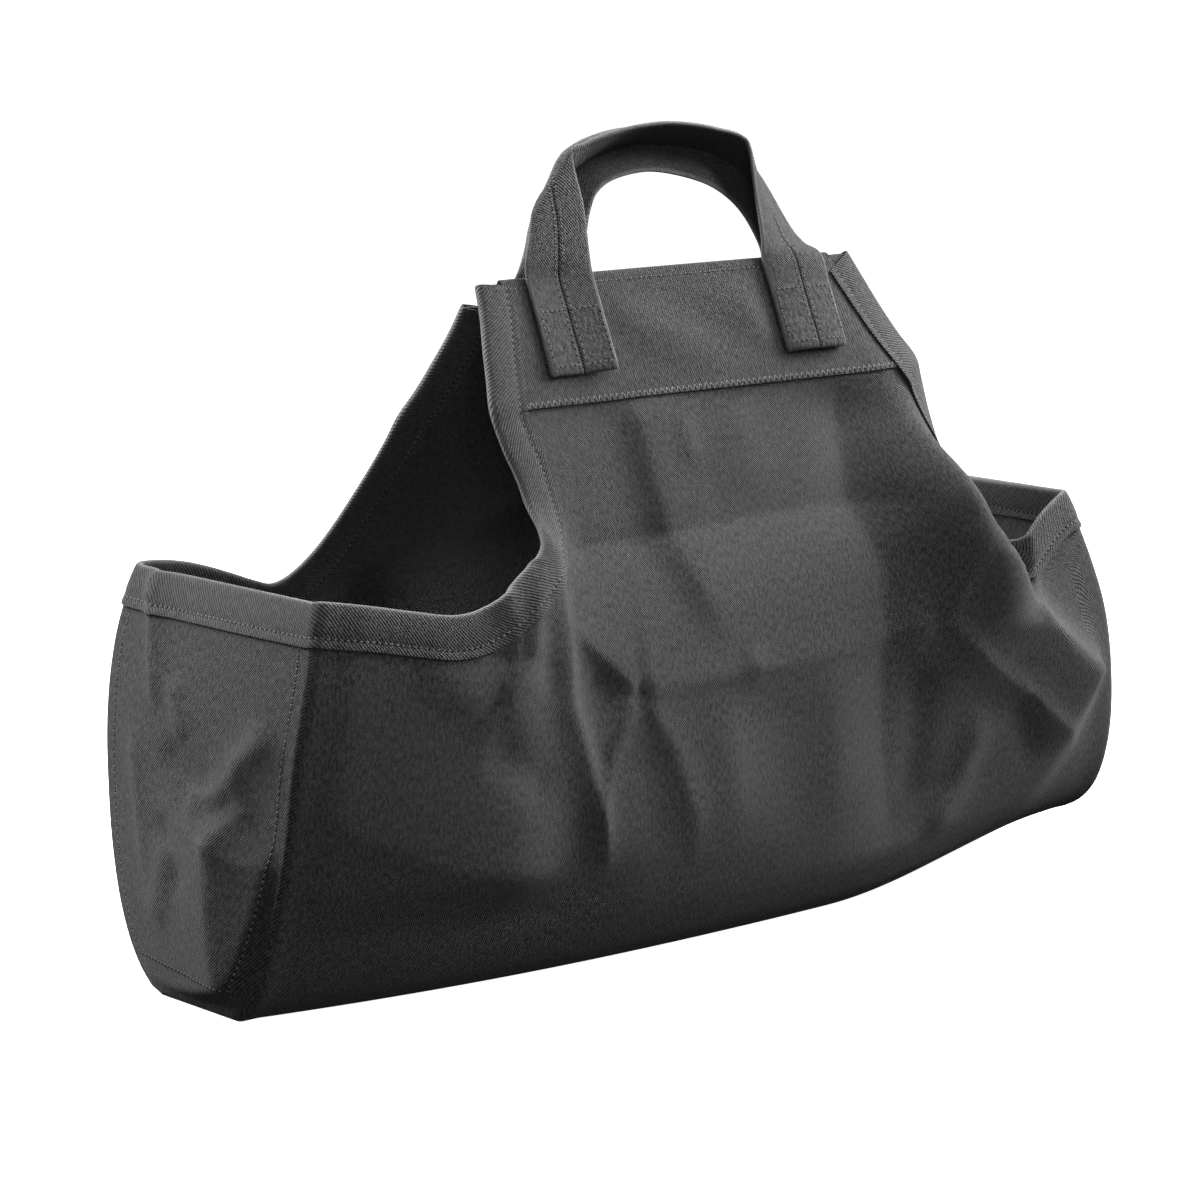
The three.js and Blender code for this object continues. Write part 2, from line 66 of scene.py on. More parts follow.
# Camera at the photograph's viewing angle, in metres.
CAMERA_PLACE = (-1.6032, -1.7934, 0.6313)
CAMERA_TARGET = (-0.0272, 0.0, 0.1979)
CAMERA_LENS, CAMERA_SENSOR = 120.4, 36.0  # millimetres
CAMERA_REACH = 200.0


def table(names, rows):
    """Columns of a table by name."""
    return dict(zip(names.split(), np.array(rows, float).T))


# Depth of the walls by height: at mid length, and at the left and right ends.
PROFILE = table("z front back front_left back_left right", [
    (0, 78, 72, 44, 28, 48),
    (4, 86, 80, 52, 38, 60),
    (12, 93, 87, 60, 48, 70),
    (30, 100, 94, 69, 62, 81),
    (60, 104, 98, 78, 76, 89),
    (100, 105, 99, 86, 87, 93),
    (150, 103, 97, 91, 92, 94),
    (200, 98, 90, 93, 93, 92),
    (238, 90, 76, 87, 86, 86),
    (300, 70, 38, 72, 72, 72),
    (350, 50, 8, 60, 60, 60),
    (400, 28, -18, 50, 50, 50),
])

# Reach of the body to each side by height.
LENGTH = table("z left right", [
    (0, 337, 339),
    (45, 334, 342),
    (101, 329, 341),
    (158, 325, 332),
    (215, 314, 309),
    (240, 306, 297),
])

# How far the edge of the front's right neck curls back by height.
CURL = table("z back", [
    (257, 39), (277, 32), (299, 24), (327, 15), (345, 11), (362, 8), (380, 6), (400, 4),
])

# Open edge of each wall: along the rim from the corner, then up the neck from its foot.
EDGE_FRONT = table("left left_z right right_z", [
    (-306, 238, 297, 239),
    (-278, 233, 288, 235),
    (-250, 227, 278, 230),
    (-222, 222, 268, 224),
    (-200, 225, 259, 217),
    (-176, 238, 251, 211),
    (-155, 251, 244, 211),
    (-149, 262, 237, 223),
    (-149, 276, 229, 239),
    (-151, 291, 220, 264),
    (-156, 308, 208, 296),
    (-159, 327, 195, 327),
    (-156, 345, 180, 345),
    (-153, 362, 168, 362),
    (-149, 380, 158, 380),
    (-147, 397, 149, 397),
])
EDGE_BACK = table("left left_z right right_z", [
    (-306, 238, 297, 239),
    (-289, 237, 283, 235),
    (-272, 234, 268, 229),
    (-255, 229, 252, 222),
    (-238, 223, 236, 213),
    (-222, 217, 220, 209),
    (-207, 213, 204, 212),
    (-193, 218, 201, 228),
    (-179, 231, 200, 245),
    (-168, 250, 199, 262),
    (-158, 278, 197, 285),
    (-149, 311, 194, 311),
    (-142, 329, 190, 329),
    (-137, 346, 186, 346),
    (-132, 364, 181, 364),
    (-129, 381, 176, 381),
])
NECK_FOOT = 6  # row of an edge table at the foot of the neck
BAND_FOOT = 11  # row at the lower edge of a hem band
LEG_FOOT = 12  # row at the sewn lower end of a handle leg
EDGE_TOP = 15  # row at the top edge
SIDES = ("left", "right")

# Handle legs: X of the outer and inner strap edges, left and right.
LEGS_FRONT = {"left": (-65, -114), "right": (75, 124)}
LEGS_BACK = {"left": (-52, -102), "right": (98, 148)}

# Free arch of each handle from left leg to right leg: inner and outer strap edges.
ARCH_FRONT = table("ix iy iz ox oy oz", [
    (-63, -33, 412, -113, -34, 410),
    (-60, -24, 440, -107, -30, 423),
    (-59, -13, 469, -100, -24, 433),
    (-47, -12, 475, -78, -6, 443),
    (-28, -13, 480, -51, 13, 448),
    (-8, -14, 483, -22, 28, 457),
    (15, -14, 484, 15, 33, 465),
    (38, -14, 482, 53, 32, 466),
    (60, -13, 478, 85, 28, 461),
    (77, -12, 474, 103, 24, 453),
    (84, -13, 467, 115, 16, 440),
    (81, -22, 440, 117, -3, 423),
    (77, -32, 413, 122, -21, 406),
])
ARCH_BACK = table("ix iy iz ox oy oz", [
    (-51, -10, 398, -101, -10, 397),
    (-44, -8, 416, -88, -3, 412),
    (-37, -4, 432, -72, 10, 428),
    (-28, -1, 444, -48, 23, 449),
    (-12, 1, 451, -24, 35, 466),
    (15, 1, 454, 15, 41, 476),
    (45, 1, 449, 58, 43, 477),
    (68, 0, 441, 97, 40, 471),
    (85, -3, 428, 126, 30, 452),
    (96, -7, 410, 143, 9, 410),
    (98, -10, 396, 148, -6, 395),
])


def fold(line, left, right, height, power=2.0, ends=(0.25, 0.25)):
    """A fold: its line, half width on each side, height, sharpness, and shares where its ends die away."""
    return {"line": line, "left": left, "right": right, "height": height, "power": power, "ends": ends}


# Folds of the front by (x, z): its broad shape, then the folds at the left, in the middle and at the right.
FOLDS_FRONT = [
    fold([(-50, 262), (110, 255)], 62, 62, -7, ends=(0, 0)),
    fold([(-80, 80), (115, 80)], 50, 50, 5, ends=(0, 0)),
    fold([(-185, 215), (-190, 40)], 40, 110, 11, ends=(0, 0.2)),
    fold([(118, 330), (112, 250), (124, 207), (117, 162), (116, 100), (130, 30)],
         60, 26, -9, 1.2, (0.1, 0.1)),

    fold([(-149, 280), (-152, 256), (-176, 238), (-206, 224)], 18, 18, 4.5, 1.6, (0.25, 0.25)),
    fold([(-164, 238), (-172, 196), (-190, 180), (-196, 145)], 24, 7, 4.5, 1.4, (0, 0.4)),
    fold([(-250, 205), (-200, 165)], 14, 14, 2),
    fold([(-205, 150), (-156, 113)], 12, 12, -2.2),
    fold([(-215, 203), (-148, 186)], 6, 6, -1.4, 1.2),
    fold([(-330, 140), (-289, 107), (-229, 80), (-177, 67), (-120, 88)], 26, 9, 1.3, 1.2),
    fold([(-290, 0), (-210, 53), (-120, 98)], 28, 10, 1.3, 1.2),

    fold([(-146, 250), (-143, 199), (-142, 165), (-132, 137), (-125, 112), (-111, 52)],
         8, 14, 5.0, 1.5, (0, 0.35)),
    fold([(-160, 228), (-157, 160)], 9, 9, -1.4),
    fold([(-142, 212), (-117, 190), (-87, 162)], 24, 6, 3.3, 1.2, (0.2, 0.1)),
    fold([(-124, 180), (-104, 155)], 12, 12, -2),
    fold([(-85, 165), (-108, 133), (-120, 100), (-112, 50)], 11, 6, 3.0, 1.3, (0.15, 0.35)),
    fold([(-87, 165), (-63, 126), (-50, 85), (-45, 40)], 18, 8, 2.5, 1.3, (0.15, 0.4)),
    fold([(-82, 134), (-79, 66)], 14, 14, -1.5),
    fold([(-140, 248), (-70, 247), (24, 250), (100, 251), (170, 251)], 20, 16, -6, 1.0, (0.1, 0.15)),
    fold([(-88, 164), (-12, 164), (44, 165), (96, 168), (165, 177)], 22, 14, 4, 1.0, (0.05, 0.1)),
    fold([(-54, 335), (-47, 286), (-39, 245), (-30, 224), (-2, 168)], 44, 13, 4.6, 1.7, (0.1, 0.4)),
    fold([(-20, 318), (-14, 282)], 10, 8, 1.6),
    fold([(20, 322), (34, 262)], 20, 24, 2.2),
    fold([(-4, 176), (12, 164)], 8, 8, 1.8),
    fold([(-27, 162), (-10, 50)], 14, 18, 2.4, ends=(0.3, 0.5)),
    fold([(20, 160), (34, 45)], 22, 22, -2.2, ends=(0.3, 0.5)),
    fold([(72, 166), (74, 45)], 26, 18, 2.8, ends=(0.25, 0.5)),

    fold([(158, 179), (199, 146), (246, 114), (312, 62)], 6, 16, 2.4, 1.2, (0.1, 0.2)),
    fold([(193, 236), (158, 169)], 6, 10, 2.4, 1.3),
    fold([(147, 156), (140, 50)], 14, 14, -3.6),
    fold([(203, 118), (181, 65), (152, 34)], 14, 10, 4),
    fold([(226, 122), (254, 62)], 12, 12, -2.4),
    fold([(166, 325), (174, 290), (192, 238), (224, 196), (258, 161), (296, 132), (332, 112)],
         10, 76, 20, 1.3, (0.28, 0.12)),
    fold([(166, 300), (192, 238), (224, 196), (256, 162)], 10, 62, 16, 1.3, (0.35, 0.35)),
]
FOLDS_BACK = [
    fold([(-150, 235), (-130, 70)], 24, 24, 8),
    fold([(170, 235), (150, 70)], 24, 24, 8),
    fold([(0, 330), (10, 140)], 36, 36, -6),
    fold([(-140, 247), (160, 250)], 18, 18, -3, 1.1),
    fold([(-130, 164), (150, 168)], 20, 14, 3, 1.1),
]
# Folds of the end panels, with the place from front to back as the first number.
FOLDS_END = [
    fold([(60, 232), (46, 190), (36, 160)], 4, 10, 5, 1.2, (0, 0.3)),
    fold([(26, 186), (6, 150)], 6, 8, 3, 1.3),
    fold([(-72, 170), (-46, 147), (-36, 124)], 10, 12, 6, 1.3),
    fold([(-56, 129), (-27, 95)], 10, 10, 4.5, 1.3),
    fold([(-40, 122), (-34, 98), (-37, 62), (-48, 12)], 40, 34, 14, 1.2, (0.25, 0.1)),
    fold([(0, 118), (-42, 132)], 8, 8, 4.5, 1.3),
    fold([(30, 147), (-28, 126)], 9, 9, -3),
    fold([(26, 110), (-10, 66)], 8, 8, -2.5, 1.3),
    fold([(62, 160), (48, 112), (30, 60)], 6, 10, 3, 1.3),
    fold([(8, 100), (24, 40)], 14, 10, 3),
]
# How far an end panel swells out by height.
END_SWELL = table("z swell", [
    (0, 0), (10, 2), (30, 4.5), (85, 6), (170, 4.8), (216, 2.8), (240, 0),
])


def curve(knots, values):
    """A smooth curve through values at rising knots, as a function of the knot measure."""
    knots, values = np.asarray(knots, float), np.asarray(values, float)
    spread = (slice(None),) + (None,) * (values.ndim - 1)
    slopes = np.empty_like(values)
    slopes[1:-1] = (values[2:] - values[:-2]) / (knots[2:] - knots[:-2])[spread]
    slopes[0] = (values[1] - values[0]) / (knots[1] - knots[0])
    slopes[-1] = (values[-1] - values[-2]) / (knots[-1] - knots[-2])

    def at(place):
        place = np.asarray(place, float)
        n = np.clip(np.searchsorted(knots, place, side="right") - 1, 0, len(knots) - 2)
        span = knots[n + 1] - knots[n]
        t = (place - knots[n]) / span
        if values.ndim > 1:
            t, span = t[..., None], span[..., None]
        ease = t * t * (3 - 2 * t)
        bend = (t * (1 - t) ** 2 * slopes[n] - t * t * (1 - t) * slopes[n + 1]) * span
        return values[n] + (values[n + 1] - values[n]) * ease + bend

    return at


def unit(v):
    return v / np.maximum(np.linalg.norm(v, axis=-1, keepdims=True), TINY)


def clamp(t):
    return np.clip(t, 0.0, 1.0)


def smooth(t):
    t = clamp(t)
    return t * t * (3 - 2 * t)


def fold_height(folds, x, z):
    """Height of the folds at places of a wall: each is steep or gentle on either side of its line."""
    height = np.zeros(np.broadcast(x, z).shape)
    for crease in folds:
        nearest = np.full(height.shape, np.inf)
        share = np.zeros(height.shape)
        lengths = [math.dist(first, second) for first, second in zip(crease["line"], crease["line"][1:])]
        run = 0.0
        for (x0, z0), (x1, z1), length in zip(crease["line"], crease["line"][1:], lengths):
            dx, dz = x1 - x0, z1 - z0
            t = clamp(((x - x0) * dx + (z - z0) * dz) / length ** 2)
            away = np.hypot(x - x0 - t * dx, z - z0 - t * dz)
            on_left = dx * (z - z0) - dz * (x - x0) > 0
            away = away / np.where(on_left, crease["left"], crease["right"])
            closer = away < nearest
            nearest = np.where(closer, away, nearest)
            share = np.where(closer, (run + t * length) / sum(lengths), share)
            run += length
        start, end = crease["ends"]
        rise = smooth(share / start) if start else 1.0
        fall = smooth((1 - share) / end) if end else 1.0
        height += crease["height"] * rise * fall * np.exp(-nearest ** crease["power"])
    return height


reach_left = curve(LENGTH["z"], LENGTH["left"])
reach_right = curve(LENGTH["z"], LENGTH["right"])


def reach(x, z):
    return np.where(x < 0, reach_left(z), reach_right(z))


class Wall:
    """The front or the back of the body: its middle surface over x and z, and its open edge."""

    def __init__(self, side, middle, left, edge, legs, folds, curl):
        root = np.sqrt(PROFILE["z"])
        self.side, self.legs, self.folds, self.curl = side, legs, folds, curl
        self.middle = curve(root, PROFILE[middle])
        self.left = curve(root, PROFILE[left])
        self.right = curve(root, PROFILE["right"])
        rows = np.arange(len(edge["left"]))
        self.edge = {side: curve(rows, np.stack([edge[side], edge[f"{side}_z"]], 1)) for side in SIDES}
        self.corner_z = {side: edge[f"{side}_z"][0] for side in SIDES}
        neck = self.edge["right"](np.arange(NECK_FOOT, EDGE_TOP + 1))
        self.neck_places, self.neck_heights = neck[:, 0], neck[:, 1]

    def point(self, x, z):
        x, z = np.broadcast_arrays(np.asarray(x, float), np.maximum(np.asarray(z, float), 0.0))
        root = np.sqrt(z)
        end = clamp(np.abs(x) / END_PLACE) ** END_POWER
        depth = (1 - end) * self.middle(root) + end * np.where(x < 0, self.left(root), self.right(root))
        free = smooth(z / FOLD_RISE) * smooth((reach(x, z) - np.abs(x)) / FOLD_FADE)
        free = free * smooth((FOLD_TOP - z) / FOLD_CLOSE)
        neck = np.interp(z, self.neck_heights, self.neck_places)
        near = clamp((x - neck + CURL_WIDTH) / CURL_WIDTH)
        curled = clamp((z - CURL_FROM) / CURL_RISE) * smooth((CURL_SIDE - x) / CURL_FADE)
        curl = self.curl * np.interp(z, CURL["z"], CURL["back"])
        y = self.side * (depth + fold_height(self.folds, x, z) * free - curl * near ** 2 * curled)
        heel = HEEL_LIFT * smooth((x - HEEL_START) / (HEEL_END - HEEL_START))
        lift = heel * clamp(1 - z / HEEL_HEIGHT) ** 2
        return np.stack([x, y, z + CLOTH / 2 + lift], -1)

    def normal(self, x, z, step=1.0):
        """The way out of the carrier at places of the wall."""
        along = self.point(x + step, z) - self.point(x - step, z)
        up = self.point(x, z + step) - self.point(x, z - step)
        return unit(np.cross(along, up)) * -self.side

    def off(self, x, z, distance):
        return self.point(x, z) + self.normal(x, z) * np.asarray(distance)[..., None]

    def neck(self, share, row):
        """(x, z) at a share of the way from the left to the right edge, in a row of the edge table."""
        left, right = self.edge["left"](row), self.edge["right"](row)
        place = left + (right - left) * np.asarray(share, float)[..., None]
        return place[..., 0], place[..., 1]


FRONT = Wall(-1, "front", "front_left", EDGE_FRONT, LEGS_FRONT, FOLDS_FRONT, 1.0)
BACK = Wall(1, "back", "back_left", EDGE_BACK, LEGS_BACK, FOLDS_BACK, 0.0)

COLUMN_STEP = 3.7  # size of the cells of the body sheet
FINE_STEP, FINE_SHARE = 2.2, 0.22  # finer cells at the left of the neck, where the folds are sharp
WALL_ROWS = 80  # rows of a wall from its rim to the floor
NECK_ROWS = 44  # rows of a neck
PANEL_COLUMNS = 40  # columns of an end panel, and rows across the bottom
ROW_POWER = 1.1  # brings the rows closer together towards the floor
RIM_COLUMNS = [
    round(abs(EDGE_FRONT[side][NECK_FOOT] - EDGE_FRONT[side][0]) / COLUMN_STEP) for side in SIDES]
NECK_WIDTH = EDGE_FRONT["right"][NECK_FOOT] - EDGE_FRONT["left"][NECK_FOOT]
NECK_SHARES = np.concatenate([
    np.linspace(0, FINE_SHARE, round(FINE_SHARE * NECK_WIDTH / FINE_STEP), endpoint=False),
    np.linspace(FINE_SHARE, 1, round((1 - FINE_SHARE) * NECK_WIDTH / COLUMN_STEP) + 1)])


def shoulder(wall):
    """(x, z) of the line that the columns of a wall hang from: rim, foot of the neck, rim."""
    left, right = (wall.edge[side]([0, 1, NECK_FOOT])[:, 0] for side in SIDES)
    starts = [SEAM_ROUND / abs(side[1] - side[0]) for side in (left, right)]
    rim_left = wall.edge["left"](np.linspace(starts[0], NECK_FOOT, RIM_COLUMNS[0] + 1))
    across = np.stack(wall.neck(NECK_SHARES[1:-1], NECK_FOOT), -1)
    rim_right = wall.edge["right"](np.linspace(NECK_FOOT, starts[1], RIM_COLUMNS[1] + 1))
    return np.concatenate([rim_left, across, rim_right])


def hang(wall, x, z):
    """Columns of points from places of a wall down to the floor."""
    x, z = np.atleast_1d(x), np.atleast_1d(z)
    height = z[:, None] * np.linspace(1, 0, WALL_ROWS + 1) ** ROW_POWER
    along = x[:, None] * reach(x[:, None], height) / reach(x, z)[:, None]
    return wall.point(along, height)


def girth(front, back):
    """Columns of the front, the bottom and the back as one run."""
    share = np.linspace(0, 1, PANEL_COLUMNS + 1)[1:-1]
    bottom = front[:, -1:] + (back[:, -1:] - front[:, -1:]) * share[None, :, None]
    return np.concatenate([front, bottom, back[:, ::-1]], 1)


class End:
    """One end of the carrier: the rounded corner seam all round it and the panel inside."""

    def __init__(self, name, sign):
        self.name, self.sign = name, sign
        self.top = FRONT.corner_z[name]
        self.heights = self.top * np.linspace(1, 0, WALL_ROWS + 1) ** ROW_POWER
        self.edge = self.run(0.0)
        self.before = self.run(SEAM_ROUND)
        out = unit(self.edge - self.before)
        normal = unit(np.cross(out, np.gradient(self.edge, axis=0))) * -sign
        self.inside = self.edge - normal * SEAM_ROUND
        self.bisector = unit(out + normal)
        self.panel = self.panel_points()

    def run(self, inset):
        """The run round the front, the bottom and the back at a distance from the end."""
        columns = []
        for wall in (FRONT, BACK):
            first, second = wall.edge[self.name]([0, 1])
            x, z = wall.edge[self.name](inset / abs(second[0] - first[0]))
            columns.append(hang(wall, x, z))
        return girth(*columns)[0]

    def ring(self, share):
        """The run at a share of the way round the rounded corner, from the body to the panel."""
        rest = 1 - share
        return rest ** 2 * self.before + 2 * share * rest * self.edge + share ** 2 * self.inside

    def tuck(self, share):
        return self.ring(share) - self.bisector * SEAM_TUCK

    def panel_points(self):
        """Points of the panel by row from the rim down and by column from front to back."""
        front = self.inside[: WALL_ROWS + 1]
        back = self.inside[WALL_ROWS + PANEL_COLUMNS:][::-1]
        share = np.linspace(0, 1, PANEL_COLUMNS + 1)[None, :, None]
        points = front[:, None] + (back[:, None] - front[:, None]) * share
        points[-1] = self.inside[WALL_ROWS: WALL_ROWS + PANEL_COLUMNS + 1]
        y, z = points[..., 1], points[..., 2]
        width = np.linalg.norm(back - front, axis=1)[:, None]
        seam = np.minimum(share[..., 0], 1 - share[..., 0]) * width
        free = smooth(seam / PANEL_FREE) * smooth((z - SEAM_ROUND) / PANEL_FREE)
        swell = np.interp(z, END_SWELL["z"], END_SWELL["swell"]) * np.sin(math.pi * share[..., 0])
        points[..., 0] += self.sign * (swell + fold_height(FOLDS_END, y, z) * free)
        return points

    def at_depth(self, rows, depth):
        """Points at depths below the rim on a line of points that starts at the rim."""
        below = self.top - self.heights
        return np.stack([np.interp(depth, below, rows[: WALL_ROWS + 1, n]) for n in range(3)], -1)


ENDS = [End("left", -1), End("right", 1)]


def run_of(points):
    """Distance along a line of points at each of them."""
    return np.concatenate([[0.0], np.cumsum(np.linalg.norm(np.diff(points, axis=0), axis=1))])


def resample(values, run, at):
    """Values at distances along a run."""
    columns = values.reshape(len(values), -1).T
    found = np.stack([np.interp(at, run, column) for column in columns], -1)
    return found.reshape((len(at),) + values.shape[1:])


def weave(grid, uv):
    """Points, quads and texture places of a grid, leaving out the cells with a missing corner."""
    number = np.arange(grid.shape[0] * grid.shape[1]).reshape(grid.shape[:2])
    corners = [number[:-1, :-1], number[:-1, 1:], number[1:, 1:], number[1:, :-1]]
    quads = np.stack(corners, -1).reshape(-1, 4)
    there = ~np.isnan(grid[..., 0]).ravel()
    quads = quads[there[quads].all(1)]
    kept = np.unique(quads)
    renumbered = np.full(number.size, -1)
    renumbered[kept] = np.arange(len(kept))
    return grid.reshape(-1, 3)[kept], renumbered[quads], uv.reshape(-1, 2)[kept]


def normals_of(points, quads):
    corner = points[quads]
    face = np.cross(corner[:, 2] - corner[:, 0], corner[:, 3] - corner[:, 1])
    normals = np.zeros_like(points)
    for n in range(4):
        np.add.at(normals, quads[:, n], face)
    return unit(normals)


def thicken(points, quads, thickness):
    """Closes a sheet of quads into a body of even thickness, half of it on each side."""
    count = len(points)
    offset = normals_of(points, quads) * thickness / 2
    edges = np.concatenate([quads[:, [n, (n + 1) % 4]] for n in range(4)])
    _, first, uses = np.unique(np.sort(edges, 1), axis=0, return_index=True, return_counts=True)
    start, end = edges[first[uses == 1]].T
    rim = np.stack([end, start, start + count, end + count], 1)
    faces = np.concatenate([quads, quads[:, ::-1] + count, rim])
    return np.concatenate([points + offset, points - offset]), faces


def add_piece(name, points, faces, uv, material, slot, nodes=(), wear_and_highlight=None, pucker=None):
    """A mesh piece that rides on the carrier, with places along the cloth, its wear and painted highlight,
    and its puckers.
    """
    mesh = bpy.data.meshes.new(name)
    mesh.from_pydata((points * MM).tolist(), [], [list(face) for face in faces])
    mesh.polygons.foreach_set("use_smooth", [True] * len(mesh.polygons))
    mesh.set_sharp_from_angle(angle=math.radians(SHARP_ANGLE))
    corner = np.empty(len(mesh.loops), np.int32)
    mesh.loops.foreach_get("vertex_index", corner)
    places = (uv * MM)[corner].astype(np.float32)
    mesh.uv_layers.new(name="cloth").data.foreach_set("uv", places.ravel())
    for label, values in (("wear_and_highlight", wear_and_highlight), ("pucker", pucker)):
        values = np.zeros(len(points)) if values is None else values
        mesh.attributes.new(label, "FLOAT", "POINT").data.foreach_set("value", values.astype(np.float32))
    mesh.materials.append(material)
    piece = bpy.data.objects.new(name, mesh)
    bpy.context.scene.collection.objects.link(piece)
    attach(piece, "root")
    if nodes:
        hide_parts(*nodes)
    return piece


def add_sheet(name, points, quads, uv, thickness, material, slot, node, wear_and_highlight=None, pucker=None):
    solid, faces = thicken(points, quads, thickness)
    both = [None if values is None else np.concatenate([values, values]) for values in (wear_and_highlight, pucker)]
    return add_piece(name, solid, faces, np.concatenate([uv, uv]), material, slot, [node], *both)


def body_sheet(material):
    """The sheet that is the front, the bottom and the back, with its ends turned in at the seams."""
    lines = [shoulder(wall).T for wall in (FRONT, BACK)]
    middle = girth(hang(FRONT, *lines[0]), hang(BACK, *lines[1]))
    left, right = ENDS
    before = np.stack([left.tuck(SEAM_SHARES[-1])] + [left.ring(share) for share in SEAM_SHARES[::-1]])
    after = np.stack([right.ring(share) for share in SEAM_SHARES] + [right.tuck(SEAM_SHARES[-1])])
    middle = np.concatenate([before, middle, after])
    first = len(before) + RIM_COLUMNS[0]
    last = first + len(NECK_SHARES)
    shares = NECK_SHARES[:, None]
    rows = np.linspace(EDGE_TOP, NECK_FOOT, NECK_ROWS + 1)[:-1]
    grid = np.full((len(middle), NECK_ROWS * 2 + middle.shape[1], 3), np.nan)
    grid[:, NECK_ROWS:-NECK_ROWS] = middle
    grid[first:last, :NECK_ROWS] = FRONT.point(*FRONT.neck(shares, rows))
    grid[first:last, -NECK_ROWS:] = BACK.point(*BACK.neck(shares, rows[::-1]))
    step = np.nan_to_num(np.linalg.norm(np.diff(grid, axis=1), axis=2))
    run = np.concatenate([np.zeros((len(grid), 1)), np.cumsum(step, 1)], 1)
    run -= run[:, [grid.shape[1] // 2]]
    aside = np.nan_to_num(np.linalg.norm(np.diff(grid, axis=0), axis=2))
    across = np.concatenate([np.zeros((1, grid.shape[1])), np.cumsum(aside, 0)])
    across -= across[len(grid) // 2]
    points, quads, uv = weave(grid, np.stack([across, run], -1))
    return add_sheet("canvas_body", points, quads, uv, CLOTH, material, "canvas", "body_sheet")


def end_panel(end, material):
    """An end panel with its edges rounded into the corner seam and turned in."""
    grid = end.panel
    number = np.arange(grid.shape[0] * grid.shape[1]).reshape(grid.shape[:2])
    border = np.concatenate([number[:, 0], number[-1, 1:], number[-2::-1, -1]])
    shares = [1 - share for share in SEAM_SHARES]
    strips = [end.ring(share) for share in shares] + [end.tuck(shares[-1])]
    points = np.concatenate([grid.reshape(-1, 3)] + strips)
    lines = [border] + [number.size + n * len(border) + np.arange(len(border)) for n in range(len(strips))]
    inner = [number[:-1, :-1], number[1:, :-1], number[1:, 1:], number[:-1, 1:]]
    outer = [np.stack([a[:-1], b[:-1], b[1:], a[1:]], 1) for a, b in zip(lines, lines[1:])]
    quads = np.concatenate([np.stack(inner, -1).reshape(-1, 4)] + outer)
    if end.sign < 0:
        quads = quads[:, ::-1]
    uv = points[:, 1:] * (-1, 1)
    ways = np.array([(1, 0)] * len(number) + [(0, -1)] * PANEL_COLUMNS + [(-1, 0)] * (len(number) - 1))
    for inner_line, outer_line in zip(lines, lines[1:]):
        width = np.linalg.norm(points[outer_line] - points[inner_line], axis=1, keepdims=True)
        uv[outer_line] = uv[inner_line] + ways * width
    name = f"canvas_end_{end.name}"
    return add_sheet(name, points, quads, uv, CLOTH, material, "canvas", f"end_panel_{end.name}")


# Depths across the tape, from the raw edge it covers to its sewn edge, and the rise of its face there.
TAPE_SECTION = table("depth rise", [
    (0, 0.0), (2, 0.25), (5, 0.4), (9, 0.35), (13, 0.2),
    (15.6, -0.1), (17, -0.3), (18.4, -0.1), (20.4, 0.15), (22, 0.0),
])
TAPE_STITCH = 6  # row of the section where the stitches lie
TAPE_DIMPLES = np.array([0, 0, 0, 0, 0.05, 0.25, 0.6, 0.25, 0.05, 0])  # how deep the needle pulls a row in
TAPE_STEP = 0.14  # rows of the edge table between two stations along the tape
TAPE_PROBE = 0.02  # rows to each side that give the way of the edge
TAPE_HANG = 1.5  # rows from the corner in which the tape comes to hang straight down
TAPE_CORNER = (0.2, 0.4, 0.6, 0.8)  # shares of the rounded corner where it has stations
TAPE_TURN = 5  # points round the raw edge
TAPE_CLOSE, TAPE_END = 2.0, 0.25  # length in which its ends close, and how much stays open
TAPE_WEAR_AND_HIGHLIGHT = 1.8  # half width of the lighter strip along the fold, partly wear and partly a painted highlight
TAPE_PUCKER = 0.25  # how rough its sewn side is
TAPE_PLAIN = TAPE_WIDTH / 3  # width beside the fold that is smooth, and the next one, where it gets rough
BAND_LIFT = 1.4  # rise of the tape where a hem band runs under it
LIFT_BEFORE, LIFT_ROWS = 0.4, 0.5  # rows below the band where that rise begins, and rows that it takes


def tape_on_wall(wall, name):
    """Stations of the tape on a wall from the top edge to the corner, each a line of points going deeper."""
    first, second = wall.edge[name]([0, 1])
    start = SEAM_ROUND / abs(second[0] - first[0])
    rows = np.linspace(EDGE_TOP, start, round((EDGE_TOP - start) / TAPE_STEP))
    place = wall.edge[name](rows)
    ahead = wall.edge[name](rows + TAPE_PROBE) - wall.edge[name](rows - TAPE_PROBE)
    turn = 1 if name == "left" else -1
    into = unit(np.stack([ahead[:, 1] * turn, -ahead[:, 0] * turn], 1))
    depth = TAPE_SECTION["depth"]
    across = place[:, None] + into[:, None] * depth[None, :, None]
    x, z = place[:, :1], place[:, 1:]
    down = np.stack([x * reach(x, z - depth) / reach(x, z), z - depth], -1)
    near = smooth(TAPE_HANG - rows)[:, None, None]
    across = across * (1 - near) + down * near
    lift = BAND_LIFT * smooth((rows - BAND_FOOT + LIFT_BEFORE) / LIFT_ROWS)
    return wall.point(across[..., 0], across[..., 1]), lift


def tape_stations(end):
    """All stations of the tape at one end: front wall, corner, end panel, corner and back wall."""
    depth = TAPE_SECTION["depth"]
    front, front_lift = tape_on_wall(FRONT, end.name)
    back, back_lift = tape_on_wall(BACK, end.name)
    rings = [end.ring(share) for share in TAPE_CORNER]
    corner_front = np.stack([end.at_depth(ring, depth) for ring in rings])
    corner_back = np.stack([end.at_depth(ring[::-1], depth) for ring in rings[::-1]])
    panel = np.stack([end.at_depth(end.panel[:, n], depth) for n in range(PANEL_COLUMNS + 1)])
    stations = np.concatenate([front, corner_front, panel, corner_back, back[::-1]])
    flat = np.zeros(len(corner_front) * 2 + len(panel))
    lift = np.concatenate([front_lift, flat, back_lift[::-1]])
    return stations, lift


def tape_normals(end, stations):
    along = np.gradient(stations, axis=0)
    deeper = np.gradient(stations, axis=1)
    return unit(np.cross(along, deeper)) * -end.sign


